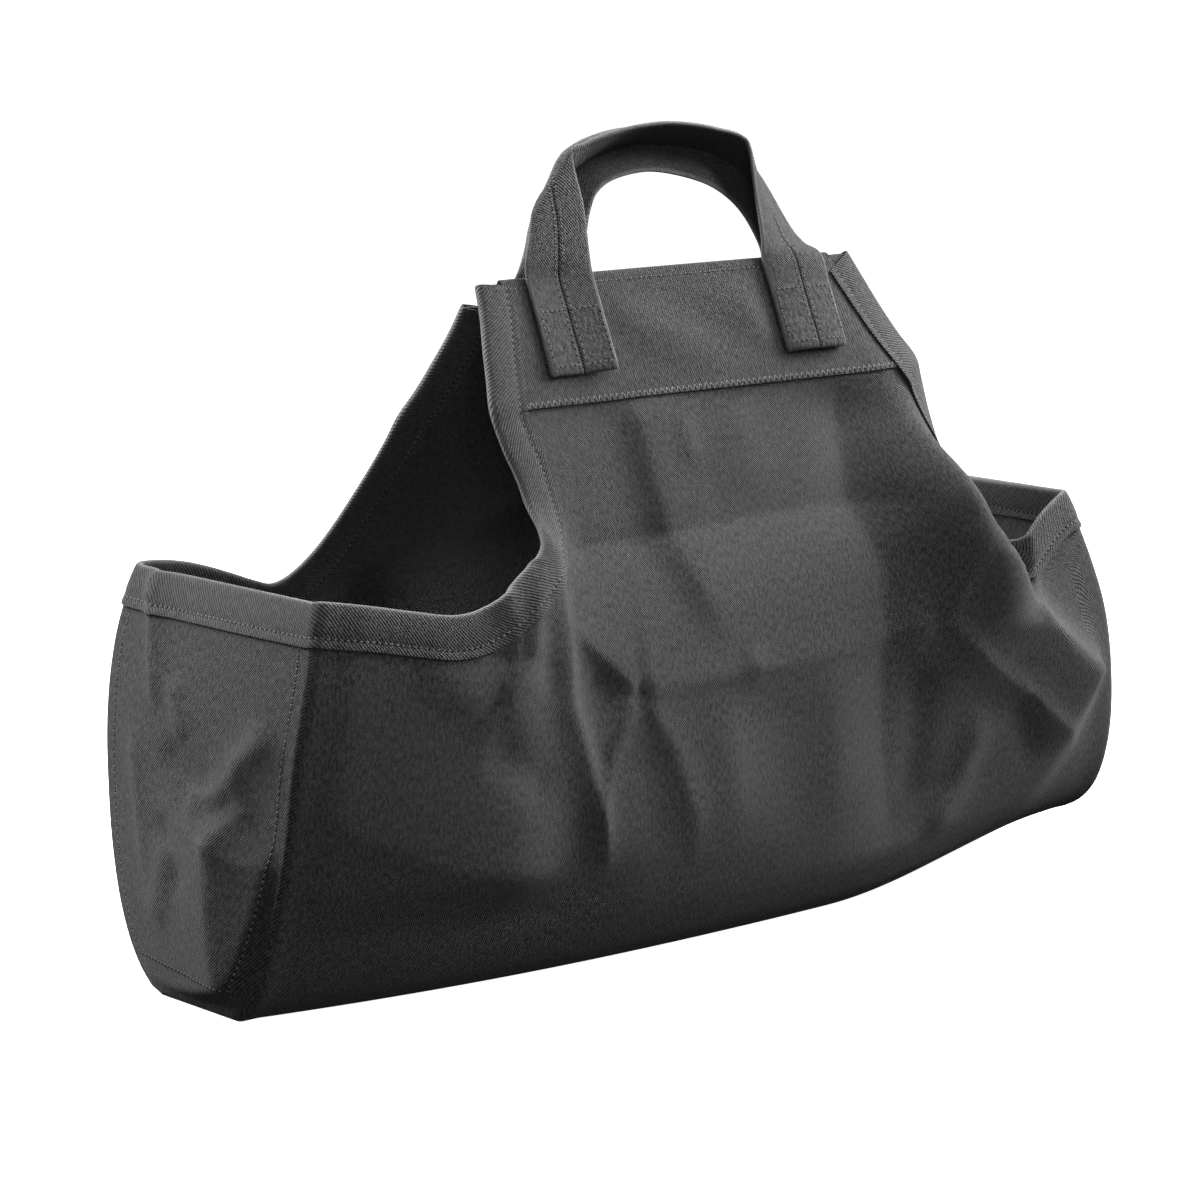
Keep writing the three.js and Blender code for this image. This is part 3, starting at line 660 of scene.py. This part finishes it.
def turned_edge(outer, inner, away, over):
    """Lines of points that turn over an edge from its outer to its inner face."""
    middle, half = (outer + inner) / 2, (outer - inner) / 2
    turn = np.linspace(0, math.pi, TAPE_TURN + 2)[1:-1]
    return np.stack([middle + half * math.cos(a) + away * over * math.sin(a) for a in turn], 1)


def width_run(grid):
    """Mean distance across a grid at each of its columns."""
    step = np.linalg.norm(np.diff(grid, axis=1), axis=2).mean(0)
    return np.concatenate([[0], np.cumsum(step)])


def binding(end, material):
    """The tape folded over the open edge of one end; returns the piece and its rows of stitch places."""
    stations, lift = tape_stations(end)
    run = run_of(stations[:, TAPE_STITCH])
    at = np.linspace(0, run[-1], 2 * round(run[-1] / STITCH_PITCH) + 1)
    stations, lift = resample(stations, run, at), resample(lift, run, at)
    normals = tape_normals(end, stations)
    needle = np.arange(len(at)) % 2 == 0
    section = TAPE_RISE + TAPE_SECTION["rise"][None, :] - TAPE_DIMPLES[None, :] * needle[:, None]
    start, stop = at[0] - TAPE_CLOSE, at[-1] + TAPE_CLOSE
    closing = np.sqrt(1 - clamp(1 - np.minimum(at - start, stop - at) / TAPE_CLOSE / 2) ** 2)
    section = section * (TAPE_END + (1 - TAPE_END) * closing)[:, None]
    outer = stations + normals * (section + lift[:, None])[..., None]
    inner = stations - normals * section[..., None]
    away = unit(stations[:, 0] - stations[:, 1])
    over = np.linalg.norm((outer[:, 0] - inner[:, 0]) / 2, axis=1, keepdims=True)
    cap = turned_edge(outer[:, 0], inner[:, 0], away, over)
    grid = np.concatenate([outer[:, ::-1], cap, inner], 1)
    across = width_run(grid)
    uv = np.stack(np.broadcast_arrays(at[:, None], across[None, :]), -1)
    if end.sign < 0:
        grid, uv = grid[::-1], uv[::-1]
    points, quads, uv = weave(grid, uv)
    # A lighter strip along the fold: partly wear, partly a painted highlight where the fold catches the
    # light.
    from_fold = np.abs(uv[:, 1] - across[-1] / 2)
    worn_and_highlit = np.exp(-(from_fold / TAPE_WEAR_AND_HIGHLIGHT) ** 2)
    pucker = TAPE_PUCKER * smooth((from_fold - TAPE_PLAIN) / TAPE_PLAIN)
    piece = add_sheet(
        f"tape_{end.name}", points, quads, uv, TAPE, material, "binding", f"binding_{end.name}",
        worn_and_highlit, pucker)
    face = TAPE / 2 + STITCH_RISE
    row = outer[:, TAPE_STITCH] + normals[:, TAPE_STITCH] * face
    hidden = inner[:, TAPE_STITCH] - normals[:, TAPE_STITCH] * face
    ways = normals[:, TAPE_STITCH]
    return piece, [(row, ways), (hidden, -ways)]


BAND_COLUMNS, BAND_ROWS = 80, 24  # cells along a hem band and across it
BAND_TURN_ROWS = 6  # points of its turn inside
BAND_UNDER = 6.0  # how far the band runs under the tape
BAND_TURN = 12.0  # how far it turns down inside
BAND_SWELL, BAND_WAVE = 2.2, 95.0  # height and length of its waves between the handle legs
BAND_CLEAR, BAND_EASE = 5.0, 16.0  # clearance of the waves to the legs, and the stretch in which they rise


def hem_band(name, wall, material):
    """The band on the outside of a top edge, turned over it to the inside."""
    rows = np.linspace(BAND_FOOT, EDGE_TOP, BAND_ROWS + 1)
    left, right = wall.edge["left"](rows), wall.edge["right"](rows)
    inset = TAPE_WIDTH - BAND_UNDER
    share = np.linspace(0, 1, BAND_COLUMNS + 1)[:, None]
    x = left[:, 0] + inset + (right[:, 0] - left[:, 0] - 2 * inset) * share
    z = np.broadcast_to(left[:, 1], x.shape)
    level = np.linspace(0, 1, BAND_ROWS + 1)[None, :]
    between_legs = smooth((x - wall.legs["left"][0] - BAND_CLEAR) / BAND_EASE)
    between_legs = between_legs * smooth((wall.legs["right"][0] - BAND_CLEAR - x) / BAND_EASE)
    wave = 0.5 + 0.5 * np.sin(2 * math.pi * (x / BAND_WAVE + level))
    swell = BAND_SWELL * wave * between_legs * np.sin(math.pi * level) ** 2
    outer = wall.off(x, z, TAPE_RISE + swell)
    inside_z = z[:, -1:] - np.linspace(0, BAND_TURN, BAND_TURN_ROWS)
    inner = wall.off(x[:, -1:], inside_z, np.full(inside_z.shape, -TAPE_RISE))
    away = unit(outer[:, -1] - outer[:, -2])
    grid = np.concatenate([outer, turned_edge(outer[:, -1], inner[:, 0], away, TAPE_RISE), inner], 1)
    uv = np.stack(np.broadcast_arrays(grid[..., 0], width_run(grid)[None, :]), -1)
    if wall.side < 0:
        grid, uv = grid[::-1], uv[::-1]
    points, quads, uv = weave(grid, uv)
    return add_sheet(f"hem_band_{name}", points, quads, uv, TAPE, material, "canvas", f"top_band_{name}")


STRAP_STEP = 2.4  # length of a cell along the strap
STRAP_SAMPLES = 3000  # samples of its path that its length is measured with
STRAP_PROBE = 0.05  # share to each side that gives the way across
STRAP_TUCK, STRAP_SWELL = 16.0, 0.5  # stretch folded under at each end, and how much thicker it is
TUCK_POWER = 4  # how suddenly that begins
STRAP_CORNER = 0.06  # share by which the ends narrow
LIGHTER_EDGE_FROM, LIGHTER_EDGE_RISE = 22.0, 3.0  # lighter edges: distance from the middle, and the stretch in which they start
# Rise of the inner edge, the middle and the outer edge of a leg.
STRAP_BEND = {"left": (4.5, 0.5, 0.5), "right": (0.5, 2.5, 0.5)}
# Upper face of the strap by share of the half width: rounded edges and a slit along the middle.
STRAP_FACE = table("share height", [
    (-1.0, 0.0), (-0.985, 0.75), (-0.95, 1.25), (-0.88, 1.45), (-0.7, 1.55), (-0.45, 1.6), (-0.2, 1.5),
    (-0.11, 1.3), (-0.05, 1.45), (-0.02, 1.2), (0.0, 0.35), (0.02, 1.2), (0.05, 1.45), (0.11, 1.3),
    (0.2, 1.5), (0.45, 1.6), (0.7, 1.55), (0.88, 1.45), (0.95, 1.25), (0.985, 0.75), (1.0, 0.0),
])
# Under face of the strap, going back.
STRAP_UNDER = table("share height", [
    (0.985, -0.8), (0.95, -1.3), (0.85, -1.5), (0.5, -1.5), (0.0, -1.5),
    (-0.5, -1.5), (-0.85, -1.5), (-0.95, -1.3), (-0.985, -0.8),
])
STRAP_SECTION = [
    pair for part in (STRAP_FACE, STRAP_UNDER) for pair in zip(part["share"], part["height"])]
STRAP_CAPS = [math.pi * share for share in (0.15, 0.28, 0.39, 0.47)]  # angles round its closed ends
BOX_FOOT, BOX_TOP = 3.0, 37.0  # sewn box at each end, from the end of the strap
BOX_EDGE = 2.0  # stretch past the box in which its puckers end


class Strap:
    """A handle: a flat strap up the left leg, over the arch and down the right leg."""

    def __init__(self, wall, arch):
        rows = np.arange(LEG_FOOT, EDGE_TOP + 1)
        height = wall.edge["left"](rows)[:, 1:]

        def leg(name):
            inner, outer = wall.legs[name]
            across = np.array([[inner, (inner + outer) / 2, outer]])
            rise = STRAP_RISE + np.array([STRAP_BEND[name]] * len(height))
            return wall.off(across, height, rise)

        inner = np.stack([arch["ix"], arch["iy"], arch["iz"]], 1)
        outer = np.stack([arch["ox"], arch["oy"], arch["oz"]], 1)
        free = np.stack([inner, (inner + outer) / 2, outer], 1)
        rails = np.concatenate([leg("left"), free, leg("right")[::-1]])
        gaps = np.linalg.norm(np.diff(rails[:, 1], axis=0), axis=1)
        knots = np.concatenate([[0], np.cumsum(np.sqrt(gaps))])
        path = curve(knots, rails.reshape(len(rails), -1))
        samples = np.linspace(0, knots[-1], STRAP_SAMPLES)
        run = run_of(path(samples).reshape(-1, 3, 3)[:, 1])
        self.length = run[-1]
        self.run = np.linspace(0, run[-1], round(run[-1] / STRAP_STEP) + 1)
        at = np.interp(self.run, run, samples)
        self.rails = path(at).reshape(-1, 3, 3)
        self.turn = -wall.side
        from_end = np.minimum(self.run, self.length - self.run)
        self.swell = 1 + STRAP_SWELL * np.exp(-(from_end / STRAP_TUCK) ** TUCK_POWER)
        self.sewn = smooth((BOX_TOP + BOX_EDGE - from_end) / BOX_EDGE)

    def across(self, share):
        """Points of the middle surface at a share of the half width, from -1 inside to 1 outside."""
        inner, middle, outer = (self.rails[:, n] for n in range(3))
        return inner * share * (share - 1) / 2 + middle * (1 - share ** 2) + outer * share * (share + 1) / 2

    def normal(self, share):
        along = np.gradient(self.across(share), axis=0)
        aside = self.across(share + STRAP_PROBE) - self.across(share - STRAP_PROBE)
        return unit(np.cross(along, aside)) * self.turn

    def face(self, share, height):
        """Points above or below the middle surface, with the ends thicker on the outside."""
        raised = height * (self.swell if height > 0 else np.ones(len(self.run)))
        return self.across(share) + self.normal(share) * raised[:, None]


def outward(points, faces):
    """Faces turned so that the closed mesh they make has its faces pointing out."""
    volume = sum(
        float(np.dot(points[face[0]], np.cross(points[face[n]], points[face[n + 1]])))
        for face in faces for n in range(1, len(face) - 1))
    return faces if volume > 0 else [face[::-1] for face in faces]


def handle(name, strap, material):
    """The strap of a handle as one closed piece, with rounded ends."""
    grid = np.stack([strap.face(share, height) for share, height in STRAP_SECTION], 1)
    centre = np.stack([strap.across(share) for share, _ in STRAP_SECTION], 1)
    grid, run = list(grid), list(strap.run)
    for end, step in ((0, 1), (-1, -1)):
        ahead = unit(centre[end] - centre[end + step])
        aside = centre[end] - centre[end].mean(0)
        raised = grid[end] - centre[end]
        caps = [
            centre[end] - aside * STRAP_CORNER * (1 - math.cos(a)) + raised * math.cos(a)
            + ahead * STRAP * math.sin(a) for a in STRAP_CAPS]
        reached = [run[end] - step * STRAP * math.sin(a) for a in STRAP_CAPS]
        grid = caps[::-1] + grid if end == 0 else grid + caps
        run = reached[::-1] + run if end == 0 else run + reached
    grid = np.stack(grid)
    rows, sides = grid.shape[:2]
    number = np.arange(rows * sides).reshape(rows, sides)
    following = np.roll(number, -1, 1)
    quads = np.stack([number[:-1], following[:-1], following[1:], number[1:]], -1).reshape(-1, 4)
    faces = [list(quad) for quad in quads] + [list(number[0][::-1]), list(number[-1])]
    points = grid.reshape(-1, 3)
    places = np.array([share for share, _ in STRAP_SECTION]) * STRAP_WIDTH / 2
    uv = np.stack(np.broadcast_arrays(places[None, :], np.array(run)[:, None]), -1).reshape(-1, 2)
    # The strap's edges take the lighter colour of the wear and highlight mask.
    worn_and_highlit = smooth((np.abs(uv[:, 0]) - LIGHTER_EDGE_FROM) / LIGHTER_EDGE_RISE)
    pucker = np.interp(uv[:, 1], strap.run, strap.sewn)
    faces = outward(points, faces)
    return add_piece(
        f"strap_{name}", points, faces, uv, material, "strap", [f"handle_{name}"], worn_and_highlit, pucker)


STITCH_PITCH = 4.0  # from stitch to stitch
# Sizes of a stitch, a needle hole's near-black mark of painted shade and a leg of the zigzag; drop is how
# far the ends dive into the cloth.
STITCH = {"length": 2.6, "width": 1.2, "height": 0.8, "drop": 0.5}
HOLE_SHADE = {"length": 1.3, "width": 1.3, "height": 0.3, "drop": 0.0}
ZIGZAG = {"length": 2.2, "width": 1.1, "height": 0.8, "drop": 0.3}
STITCH_SIDES = 6
# Rings of a stitch along its half length: place and thickness as shares.
STITCH_RINGS = ((-0.97, 0.35), (-0.7, 0.85), (0.0, 1.0), (0.7, 0.85), (0.97, 0.35))


def stitch_row(points, ways, shape, pitch=STITCH_PITCH, phase=0.5):
    """Middle, half length and way up of even stitches along a line of points."""
    run = run_of(points)
    count = max(1, round(run[-1] / pitch))
    at = (np.arange(count) + phase) * run[-1] / count
    ahead, behind = (resample(points, run, at + way * shape["length"] / 2) for way in (1, -1))
    return resample(points, run, at), (ahead - behind) / 2, unit(resample(ways, run, at))


def zigzag_row(points, ways, height):
    """Stitches that slant up and down in turn along a line of points."""
    middle, half, up = stitch_row(points, ways, ZIGZAG, ZIGZAG["length"])
    aside = unit(np.cross(half, up)) * height / 2
    slant = np.where(np.arange(len(middle)) % 2 == 0, 1.0, -1.0)[:, None]
    return middle, half + aside * slant, up


def stitches(name, rows, size, material, slot):
    """All the stitches of some rows as one piece."""
    middle, half, up = (np.concatenate(part) for part in zip(*rows))
    aside = unit(np.cross(half, up))
    turn = np.arange(STITCH_SIDES) * 2 * math.pi / STITCH_SIDES
    shape = [(-1.0, 0.0, 0.0)]
    for place, thickness in STITCH_RINGS:
        shape += [(place, math.cos(a) * thickness, math.sin(a) * thickness) for a in turn]
    shape = np.array(shape + [(1.0, 0.0, 0.0)])
    last = len(shape) - 1
    faces = []
    for n in range(STITCH_SIDES):
        m = (n + 1) % STITCH_SIDES
        faces += [[0, 1 + m, 1 + n], [last, last - STITCH_SIDES + n, last - STITCH_SIDES + m]]
        for ring in range(len(STITCH_RINGS) - 1):
            low, high = 1 + ring * STITCH_SIDES, 1 + (ring + 1) * STITCH_SIDES
            faces.append([low + n, low + m, high + m, high + n])
    points = (
        middle[:, None] + half[:, None] * shape[None, :, :1]
        + aside[:, None] * shape[None, :, 1:2] * size["width"] / 2
        + up[:, None] * (shape[None, :, 2:] * size["height"] / 2 - shape[None, :, :1] ** 2 * size["drop"]))
    starts = range(0, len(points) * len(shape), len(shape))
    everywhere = [[start + vertex for vertex in face] for start in starts for face in faces]
    uv = np.broadcast_to(shape[None, :, :2], points.shape[:2] + (2,)).reshape(-1, 2)
    return add_piece(name, points.reshape(-1, 3), everywhere, uv, material, slot)


def sew(name, lines, thread, slot):
    """Stitches along lines of points, and near-black marks of painted shade at the needle holes between
    them.
    """
    stitches(f"stitches_{name}", [stitch_row(*line, STITCH) for line in lines], STITCH, thread, slot)
    stitches(f"holes_{name}", [stitch_row(*line, HOLE_SHADE, phase=0.0) for line in lines], HOLE_SHADE, NEEDLE_HOLE_SHADE, slot)


TINT = (1.0, 1.01, 1.05)  # cool black of the cloth
CLOTH_LOOK = {"Roughness": 0.92, "Specular IOR Level": 0.18, "Sheen Weight": 0.12, "Sheen Roughness": 0.5}
THREAD_LOOK = {"Roughness": 0.7, "Specular IOR Level": 0.3}
RIB_WANDER = 2.4  # how far the ribs wander, in radians of their wave
THREAD_SPACING = 0.62  # spacing of the threads across the ribs, as a share of the ribs' own
YARN_STRETCH = (1.0, 0.4, 1.0)  # draws the yarn out up the cloth
# Relief of grain, threads and yarn beside ribs of height 1.
WEAVE_RELIEF = (0.9, 0.35, 1.2)
# Strength and depth of the bumps: rumpled cloth, pebbles at sewn places and the twist of a strand.
RUMPLE, PEBBLES, STRAND = (0.35, 1.2), (0.8, 1.5), (0.3, 0.1)
WEAVE_STRENGTH = 0.75
# Scale, detail and roughness of the noises.
NOISE = {
    "wander": (160.0, 2.0, 0.5), "grain": (900.0, 3.0, 0.7), "yarn": (620.0, 2.0, 0.6),
    "fading": (9.0, 5.0, 0.62), "rumple": (42.0, 4.0, 0.55), "pebbles": (330.0, 1.0, 0.5),
    "shade": (60.0, 2.0, 0.5),
}
FADING = (0.32, 0.7)  # noise between which the cloth fades
# How much the grain, yarn and ribs speckle the colour, and what keeps its mean in place.
GRAIN_SPECKLE, YARN_SPECKLE, RIB_SPECKLE = 1.6, 2.4, 0.8
SPECKLE_BASE, SPECKLE_MEAN = 0.1, 2.0
# Colours as multiples of the cloth's or thread's level.
DARK_YARN, LIGHT_YARN, FADED, WORN_AND_HIGHLIGHT = 0.15, 2.1, 1.5, 4.2
DARK_STRAND, LIGHT_STRAND = 0.7, 1.3
WORN_AND_HIGHLIGHT_SHARE = 0.8  # how far a lighter place takes the colour of wear and painted highlight
TWIST = (9000.0, 2500.0)  # twist of a strand along and across it


def node(tree, kind, inputs, **settings):
    """A shader node with its settings, its constants and the sockets that feed it."""
    made = tree.nodes.new(kind)
    for name, value in settings.items():
        setattr(made, name, value)
    for name, value in inputs.items():
        if isinstance(value, bpy.types.NodeSocket):
            tree.links.new(value, made.inputs[name])
        else:
            made.inputs[name].default_value = value
    return made


def maths(tree, operation, *values):
    return node(tree, "ShaderNodeMath", dict(enumerate(values)), operation=operation).outputs[0]


def mixed(tree, share, first, second):
    return node(tree, "ShaderNodeMix", {0: share, 6: first, 7: second}, data_type="RGBA").outputs[2]


def noise(tree, place, kind):
    inputs = dict(zip(("Vector", "Scale", "Detail", "Roughness"), (place, *NOISE[kind])))
    return node(tree, "ShaderNodeTexNoise", inputs).outputs[0]


def ripple(tree, phase):
    """A wave between 0 and 1."""
    return maths(tree, "MULTIPLY_ADD", maths(tree, "SINE", phase), 0.5, 0.5)


def bump(tree, height, strength, depth, **under):
    inputs = {"Height": height, "Strength": strength, "Distance": depth * MM} | under
    return node(tree, "ShaderNodeBump", inputs).outputs[0]


def ranged(tree, value, low, high):
    """A value brought from between low and high to between 0 and 1."""
    return node(tree, "ShaderNodeMapRange", {0: value, 1: low, 2: high}).outputs[0]


def grey(level):
    return tuple(level * part for part in TINT) + (1.0,)


def new_material(name):
    """A material with an empty tree, its places along the cloth and its places in space."""
    material = bpy.data.materials.new(name)
    material.use_nodes = True
    tree = material.node_tree
    tree.nodes.clear()
    place = node(tree, "ShaderNodeUVMap", {}, uv_map="cloth").outputs[0]
    solid = node(tree, "ShaderNodeTexCoord", {}).outputs["Object"]
    return material, tree, place, solid


def cover(tree, look, base, normal):
    surface = node(tree, "ShaderNodeBsdfPrincipled", look | {"Base Color": base, "Normal": normal})
    node(tree, "ShaderNodeOutputMaterial", {"Surface": surface.outputs[0]})


def cloth_material(name, level, period, slope, relief, cloud, speckled):
    """Matt twill cloth: slanting ribs, threads across them, grain, cloudy fading, and lighter places that
    are partly wear and partly painted highlight.
    """
    material, tree, place, solid = new_material(name)
    parts = node(tree, "ShaderNodeSeparateXYZ", {0: place}).outputs
    wander = maths(tree, "MULTIPLY", noise(tree, solid, "wander"), RIB_WANDER)
    slant = maths(tree, "MULTIPLY_ADD", parts[1], -slope, parts[0])
    rib = ripple(tree, maths(tree, "MULTIPLY_ADD", slant, 2 * math.pi / (period * MM), wander))
    across = maths(tree, "MULTIPLY_ADD", parts[0], slope, parts[1])
    thread = ripple(tree, maths(tree, "MULTIPLY", across, 2 * math.pi / (period * THREAD_SPACING * MM)))
    grain = noise(tree, solid, "grain")
    yarn_place = node(tree, "ShaderNodeMapping", {"Vector": place, "Scale": YARN_STRETCH}).outputs[0]
    yarn = noise(tree, yarn_place, "yarn")
    weave_height, speckle = rib, SPECKLE_BASE - SPECKLE_MEAN * speckled
    for part, weight in zip((grain, thread, yarn), WEAVE_RELIEF):
        weave_height = maths(tree, "MULTIPLY_ADD", part, weight, weave_height)
    weights = (GRAIN_SPECKLE * speckled, YARN_SPECKLE * speckled, RIB_SPECKLE)
    for part, weight in zip((grain, yarn, rib), weights):
        speckle = maths(tree, "MULTIPLY_ADD", part, weight, speckle)
    faded = ranged(tree, noise(tree, solid, "fading"), *FADING)
    # Lighter places from the mesh, partly wear and partly a painted highlight: the tape's fold and the
    # strap's edges.
    worn_and_highlit = node(tree, "ShaderNodeAttribute", {}, attribute_name="wear_and_highlight").outputs["Fac"]
    base = mixed(tree, speckle, grey(level * DARK_YARN), grey(level * LIGHT_YARN))
    for area, share, shade in ((faded, cloud, FADED), (worn_and_highlit, WORN_AND_HIGHLIGHT_SHARE, WORN_AND_HIGHLIGHT)):
        base = mixed(tree, maths(tree, "MULTIPLY", area, share), base, grey(level * shade))
    normal = bump(tree, weave_height, WEAVE_STRENGTH, relief)
    normal = bump(tree, noise(tree, solid, "rumple"), *RUMPLE, Normal=normal)
    puckered = node(tree, "ShaderNodeAttribute", {}, attribute_name="pucker").outputs["Fac"]
    pebbles = maths(tree, "MULTIPLY", noise(tree, solid, "pebbles"), puckered)
    normal = bump(tree, pebbles, *PEBBLES, Normal=normal)
    cover(tree, CLOTH_LOOK, base, normal)
    return material


def thread_material(name, level):
    """Sewing thread: a twisted strand a little shinier than the cloth."""
    material, tree, place, solid = new_material(name)
    parts = node(tree, "ShaderNodeSeparateXYZ", {0: place}).outputs
    slant = [maths(tree, "MULTIPLY", part, turns) for part, turns in zip(parts, TWIST)]
    twist = ripple(tree, maths(tree, "ADD", *slant))
    base = mixed(tree, noise(tree, solid, "shade"), grey(level * DARK_STRAND), grey(level * LIGHT_STRAND))
    cover(tree, THREAD_LOOK, base, bump(tree, twist, *STRAND))
    return material


# Cloths: level of grey, spacing and slope of the ribs, relief, cloudiness and speckle.
CANVAS = cloth_material("canvas_twill", 0.04, 1.6, 0.8, 0.3, 0.3, 0.95)
BINDING = cloth_material("tape_twill", 0.05, 2.3, 1.0, 0.45, 0.2, 0.6)
STRAPPING = cloth_material("strap_twill", 0.044, 1.7, 0.8, 0.4, 0.2, 1.0)
# Threads, and the painted shade at the needle holes: level of grey.
THREAD = thread_material("sewing_thread", 0.11)
THREAD_LIGHT = thread_material("zigzag_thread", 0.15)
NEEDLE_HOLE_SHADE = thread_material("painted_hole_shade", 0.003)

body = body_sheet(CANVAS)
panels = [end_panel(end, CANVAS) for end in ENDS]
tapes, tape_rows = zip(*[binding(end, BINDING) for end in ENDS])
bands = [hem_band("front", FRONT, CANVAS), hem_band("back", BACK, CANVAS)]
straps = [Strap(FRONT, ARCH_FRONT), Strap(BACK, ARCH_BACK)]
handles = [handle("front", straps[0], STRAPPING), handle("back", straps[1], STRAPPING)]

sew("tape", [row for rows in tape_rows for row in rows], THREAD_LIGHT, "binding")

HEM_ROW = 4.0  # stitches below the top edge
ZIGZAG_RISE, ZIGZAG_HEIGHT = 1.8, 4.0  # zigzag above the band's lower edge
BAND_FACE = TAPE_RISE + TAPE / 2 + STITCH_RISE
BAND_SAMPLES, BAND_SKIP = 120, 6  # samples of a line across a band, and those left out at each end


def band_line(wall, row, rise):
    """A line across a hem band and the ways out along it."""
    share = np.linspace(0, 1, BAND_SAMPLES)[BAND_SKIP:-BAND_SKIP]
    x, z = wall.neck(share, float(row))
    z = z + rise
    return wall.off(x, z, np.full(x.shape, BAND_FACE)), wall.normal(x, z)


sew("hem", [band_line(wall, EDGE_TOP, -HEM_ROW) for wall in (FRONT, BACK)], THREAD, "canvas")
zigzags = [zigzag_row(*band_line(wall, BAND_FOOT, ZIGZAG_RISE), ZIGZAG_HEIGHT) for wall in (FRONT, BACK)]
stitches("stitches_zigzag", zigzags, ZIGZAG, THREAD_LIGHT, "canvas")

SEAM_SHARE = 0.11  # seam rows of a strap, as a share of its half width
BOX_SHARES = (0.11, 0.88)  # inner and outer sides of a sewn box
BOX_SAMPLES = 12


def strap_top(strap, share):
    """Places of stitches on the upper face of a strap at a share of its half width."""
    height = np.interp(share, STRAP_FACE["share"], STRAP_FACE["height"])
    return strap.face(share, height + STITCH_RISE)


def strap_line(strap, share, start, end):
    chosen = (strap.run >= start) & (strap.run <= end)
    return strap_top(strap, share)[chosen], strap.normal(share)[chosen]


def box_lines(strap, start, end):
    """The outer side, the top and the foot of the sewn box on each half of a strap end."""
    lines = []
    near, far = (int(np.argmin(np.abs(strap.run - place))) for place in (start, end))
    for half in (-1, 1):
        lines.append(strap_line(strap, half * BOX_SHARES[1], start, end))
        for station in (near, far):
            shares = np.linspace(*BOX_SHARES, BOX_SAMPLES) * half
            line = np.stack([strap_top(strap, share)[station] for share in shares])
            lines.append((line, np.stack([strap.normal(share)[station] for share in shares])))
    return lines


strap_lines = []
for strap in straps:
    strap_lines += [strap_line(strap, side * SEAM_SHARE, 0, strap.length) for side in (-1, 1)]
    strap_lines += box_lines(strap, BOX_FOOT, BOX_TOP)
    strap_lines += box_lines(strap, strap.length - BOX_TOP, strap.length - BOX_FOOT)
sew("straps", strap_lines, THREAD, "strap")

SEAM_ROW = 6.0  # topstitch on the end panel, from the corner
SEAM_START, SEAM_FOOT = 4, 8  # rows of the panel left out at the rim and at the bottom


def seam_line(end):
    """The line of the topstitch that follows the corner seam round an end panel."""
    grid = end.panel
    ways = unit(np.cross(np.gradient(grid, axis=1), np.gradient(grid, axis=0))) * -end.sign
    place = SEAM_ROW / np.linalg.norm(grid[:, -1] - grid[:, 0], axis=1) * PANEL_COLUMNS
    columns = np.arange(PANEL_COLUMNS + 1)
    foot = WALL_ROWS - SEAM_FOOT
    rows = np.arange(SEAM_START, foot)
    turn = np.linspace(place[foot], PANEL_COLUMNS - place[foot], PANEL_COLUMNS)
    path = [(row, place[row]) for row in rows] + [(foot, column) for column in turn]
    path += [(row, PANEL_COLUMNS - place[row]) for row in rows[::-1]]
    line, out = (
        np.concatenate([resample(values[row], columns, [column]) for row, column in path])
        for values in (grid, ways))
    return line + out * (CLOTH / 2 + STITCH_RISE), out


sew("ends", [seam_line(end) for end in ENDS], THREAD, "canvas")

FLOOR_SIZE = 60.0
FLOOR_LOOK = {
    "Base Color": (0.86, 0.86, 0.86, 1.0), "Roughness": 0.9,
    "Emission Color": (1.0, 1.0, 1.0, 1.0), "Emission Strength": 1.0,
}
bpy.ops.mesh.primitive_plane_add(size=FLOOR_SIZE)
floor = bpy.context.object
floor.name = "floor"
floor_material = bpy.data.materials.new("pale_floor")
floor_material.use_nodes = True
floor_shader = floor_material.node_tree.nodes["Principled BSDF"]
for name, value in FLOOR_LOOK.items():
    floor_shader.inputs[name].default_value = value
floor.visible_diffuse = False
floor.visible_glossy = False
floor.data.materials.append(floor_material)

LIGHT_TARGET = (0.0, 0.0, 0.2)


def aim(thing, place, target):
    """Puts a light or the camera at a place and turns it to a target."""
    thing.location = place
    thing.rotation_euler = (Vector(target) - Vector(place)).to_track_quat("-Z", "Y").to_euler()
    bpy.context.scene.collection.objects.link(thing)


def area_light(name, place, size, watts):
    light = bpy.data.lights.new(name, "AREA")
    light.shape = "RECTANGLE"
    light.size, light.size_y = size
    light.energy = watts
    aim(bpy.data.objects.new(name, light), place, LIGHT_TARGET)


# Lamps: place and size in metres, and watts.
area_light("right_tall", (1.9, -0.42, 1.5), (0.9, 1.5), 134.0)
area_light("right_front", (1.0, -1.6, 1.7), (0.9, 0.9), 25.0)
area_light("left_tall", (-1.1, 1.45, 1.4), (0.9, 1.4), 90.0)
area_light("top", (-0.2, 0.5, 2.3), (0.8, 0.8), 20.0)
area_light("fill", (-1.6, -1.8, 0.9), (0.9, 0.9), 9.0)

LOW_GLOW, HIGH_GLOW = (0.04, 0.04, 0.04, 1.0), (0.09, 0.09, 0.09, 1.0)
HORIZON = (-0.05, 0.15)  # heights between which the world brightens
scene = bpy.context.scene
world = bpy.data.worlds.new("studio")
scene.world = world
world.use_nodes = True
sky = world.node_tree
ways = node(sky, "ShaderNodeTexCoord", {}).outputs["Generated"]
height = node(sky, "ShaderNodeSeparateXYZ", {0: ways}).outputs[2]
glow = mixed(sky, ranged(sky, height, *HORIZON), LOW_GLOW, HIGH_GLOW)
sky.links.new(glow, sky.nodes["Background"].inputs["Color"])

camera_data = bpy.data.cameras.new("camera")
camera_data.lens = CAMERA_LENS
camera_data.sensor_width = CAMERA_SENSOR
camera_data.clip_end = CAMERA_REACH
camera = bpy.data.objects.new("camera", camera_data)
aim(camera, CAMERA_PLACE, CAMERA_TARGET)
scene.camera = camera
scene.view_settings.view_transform = "Standard"
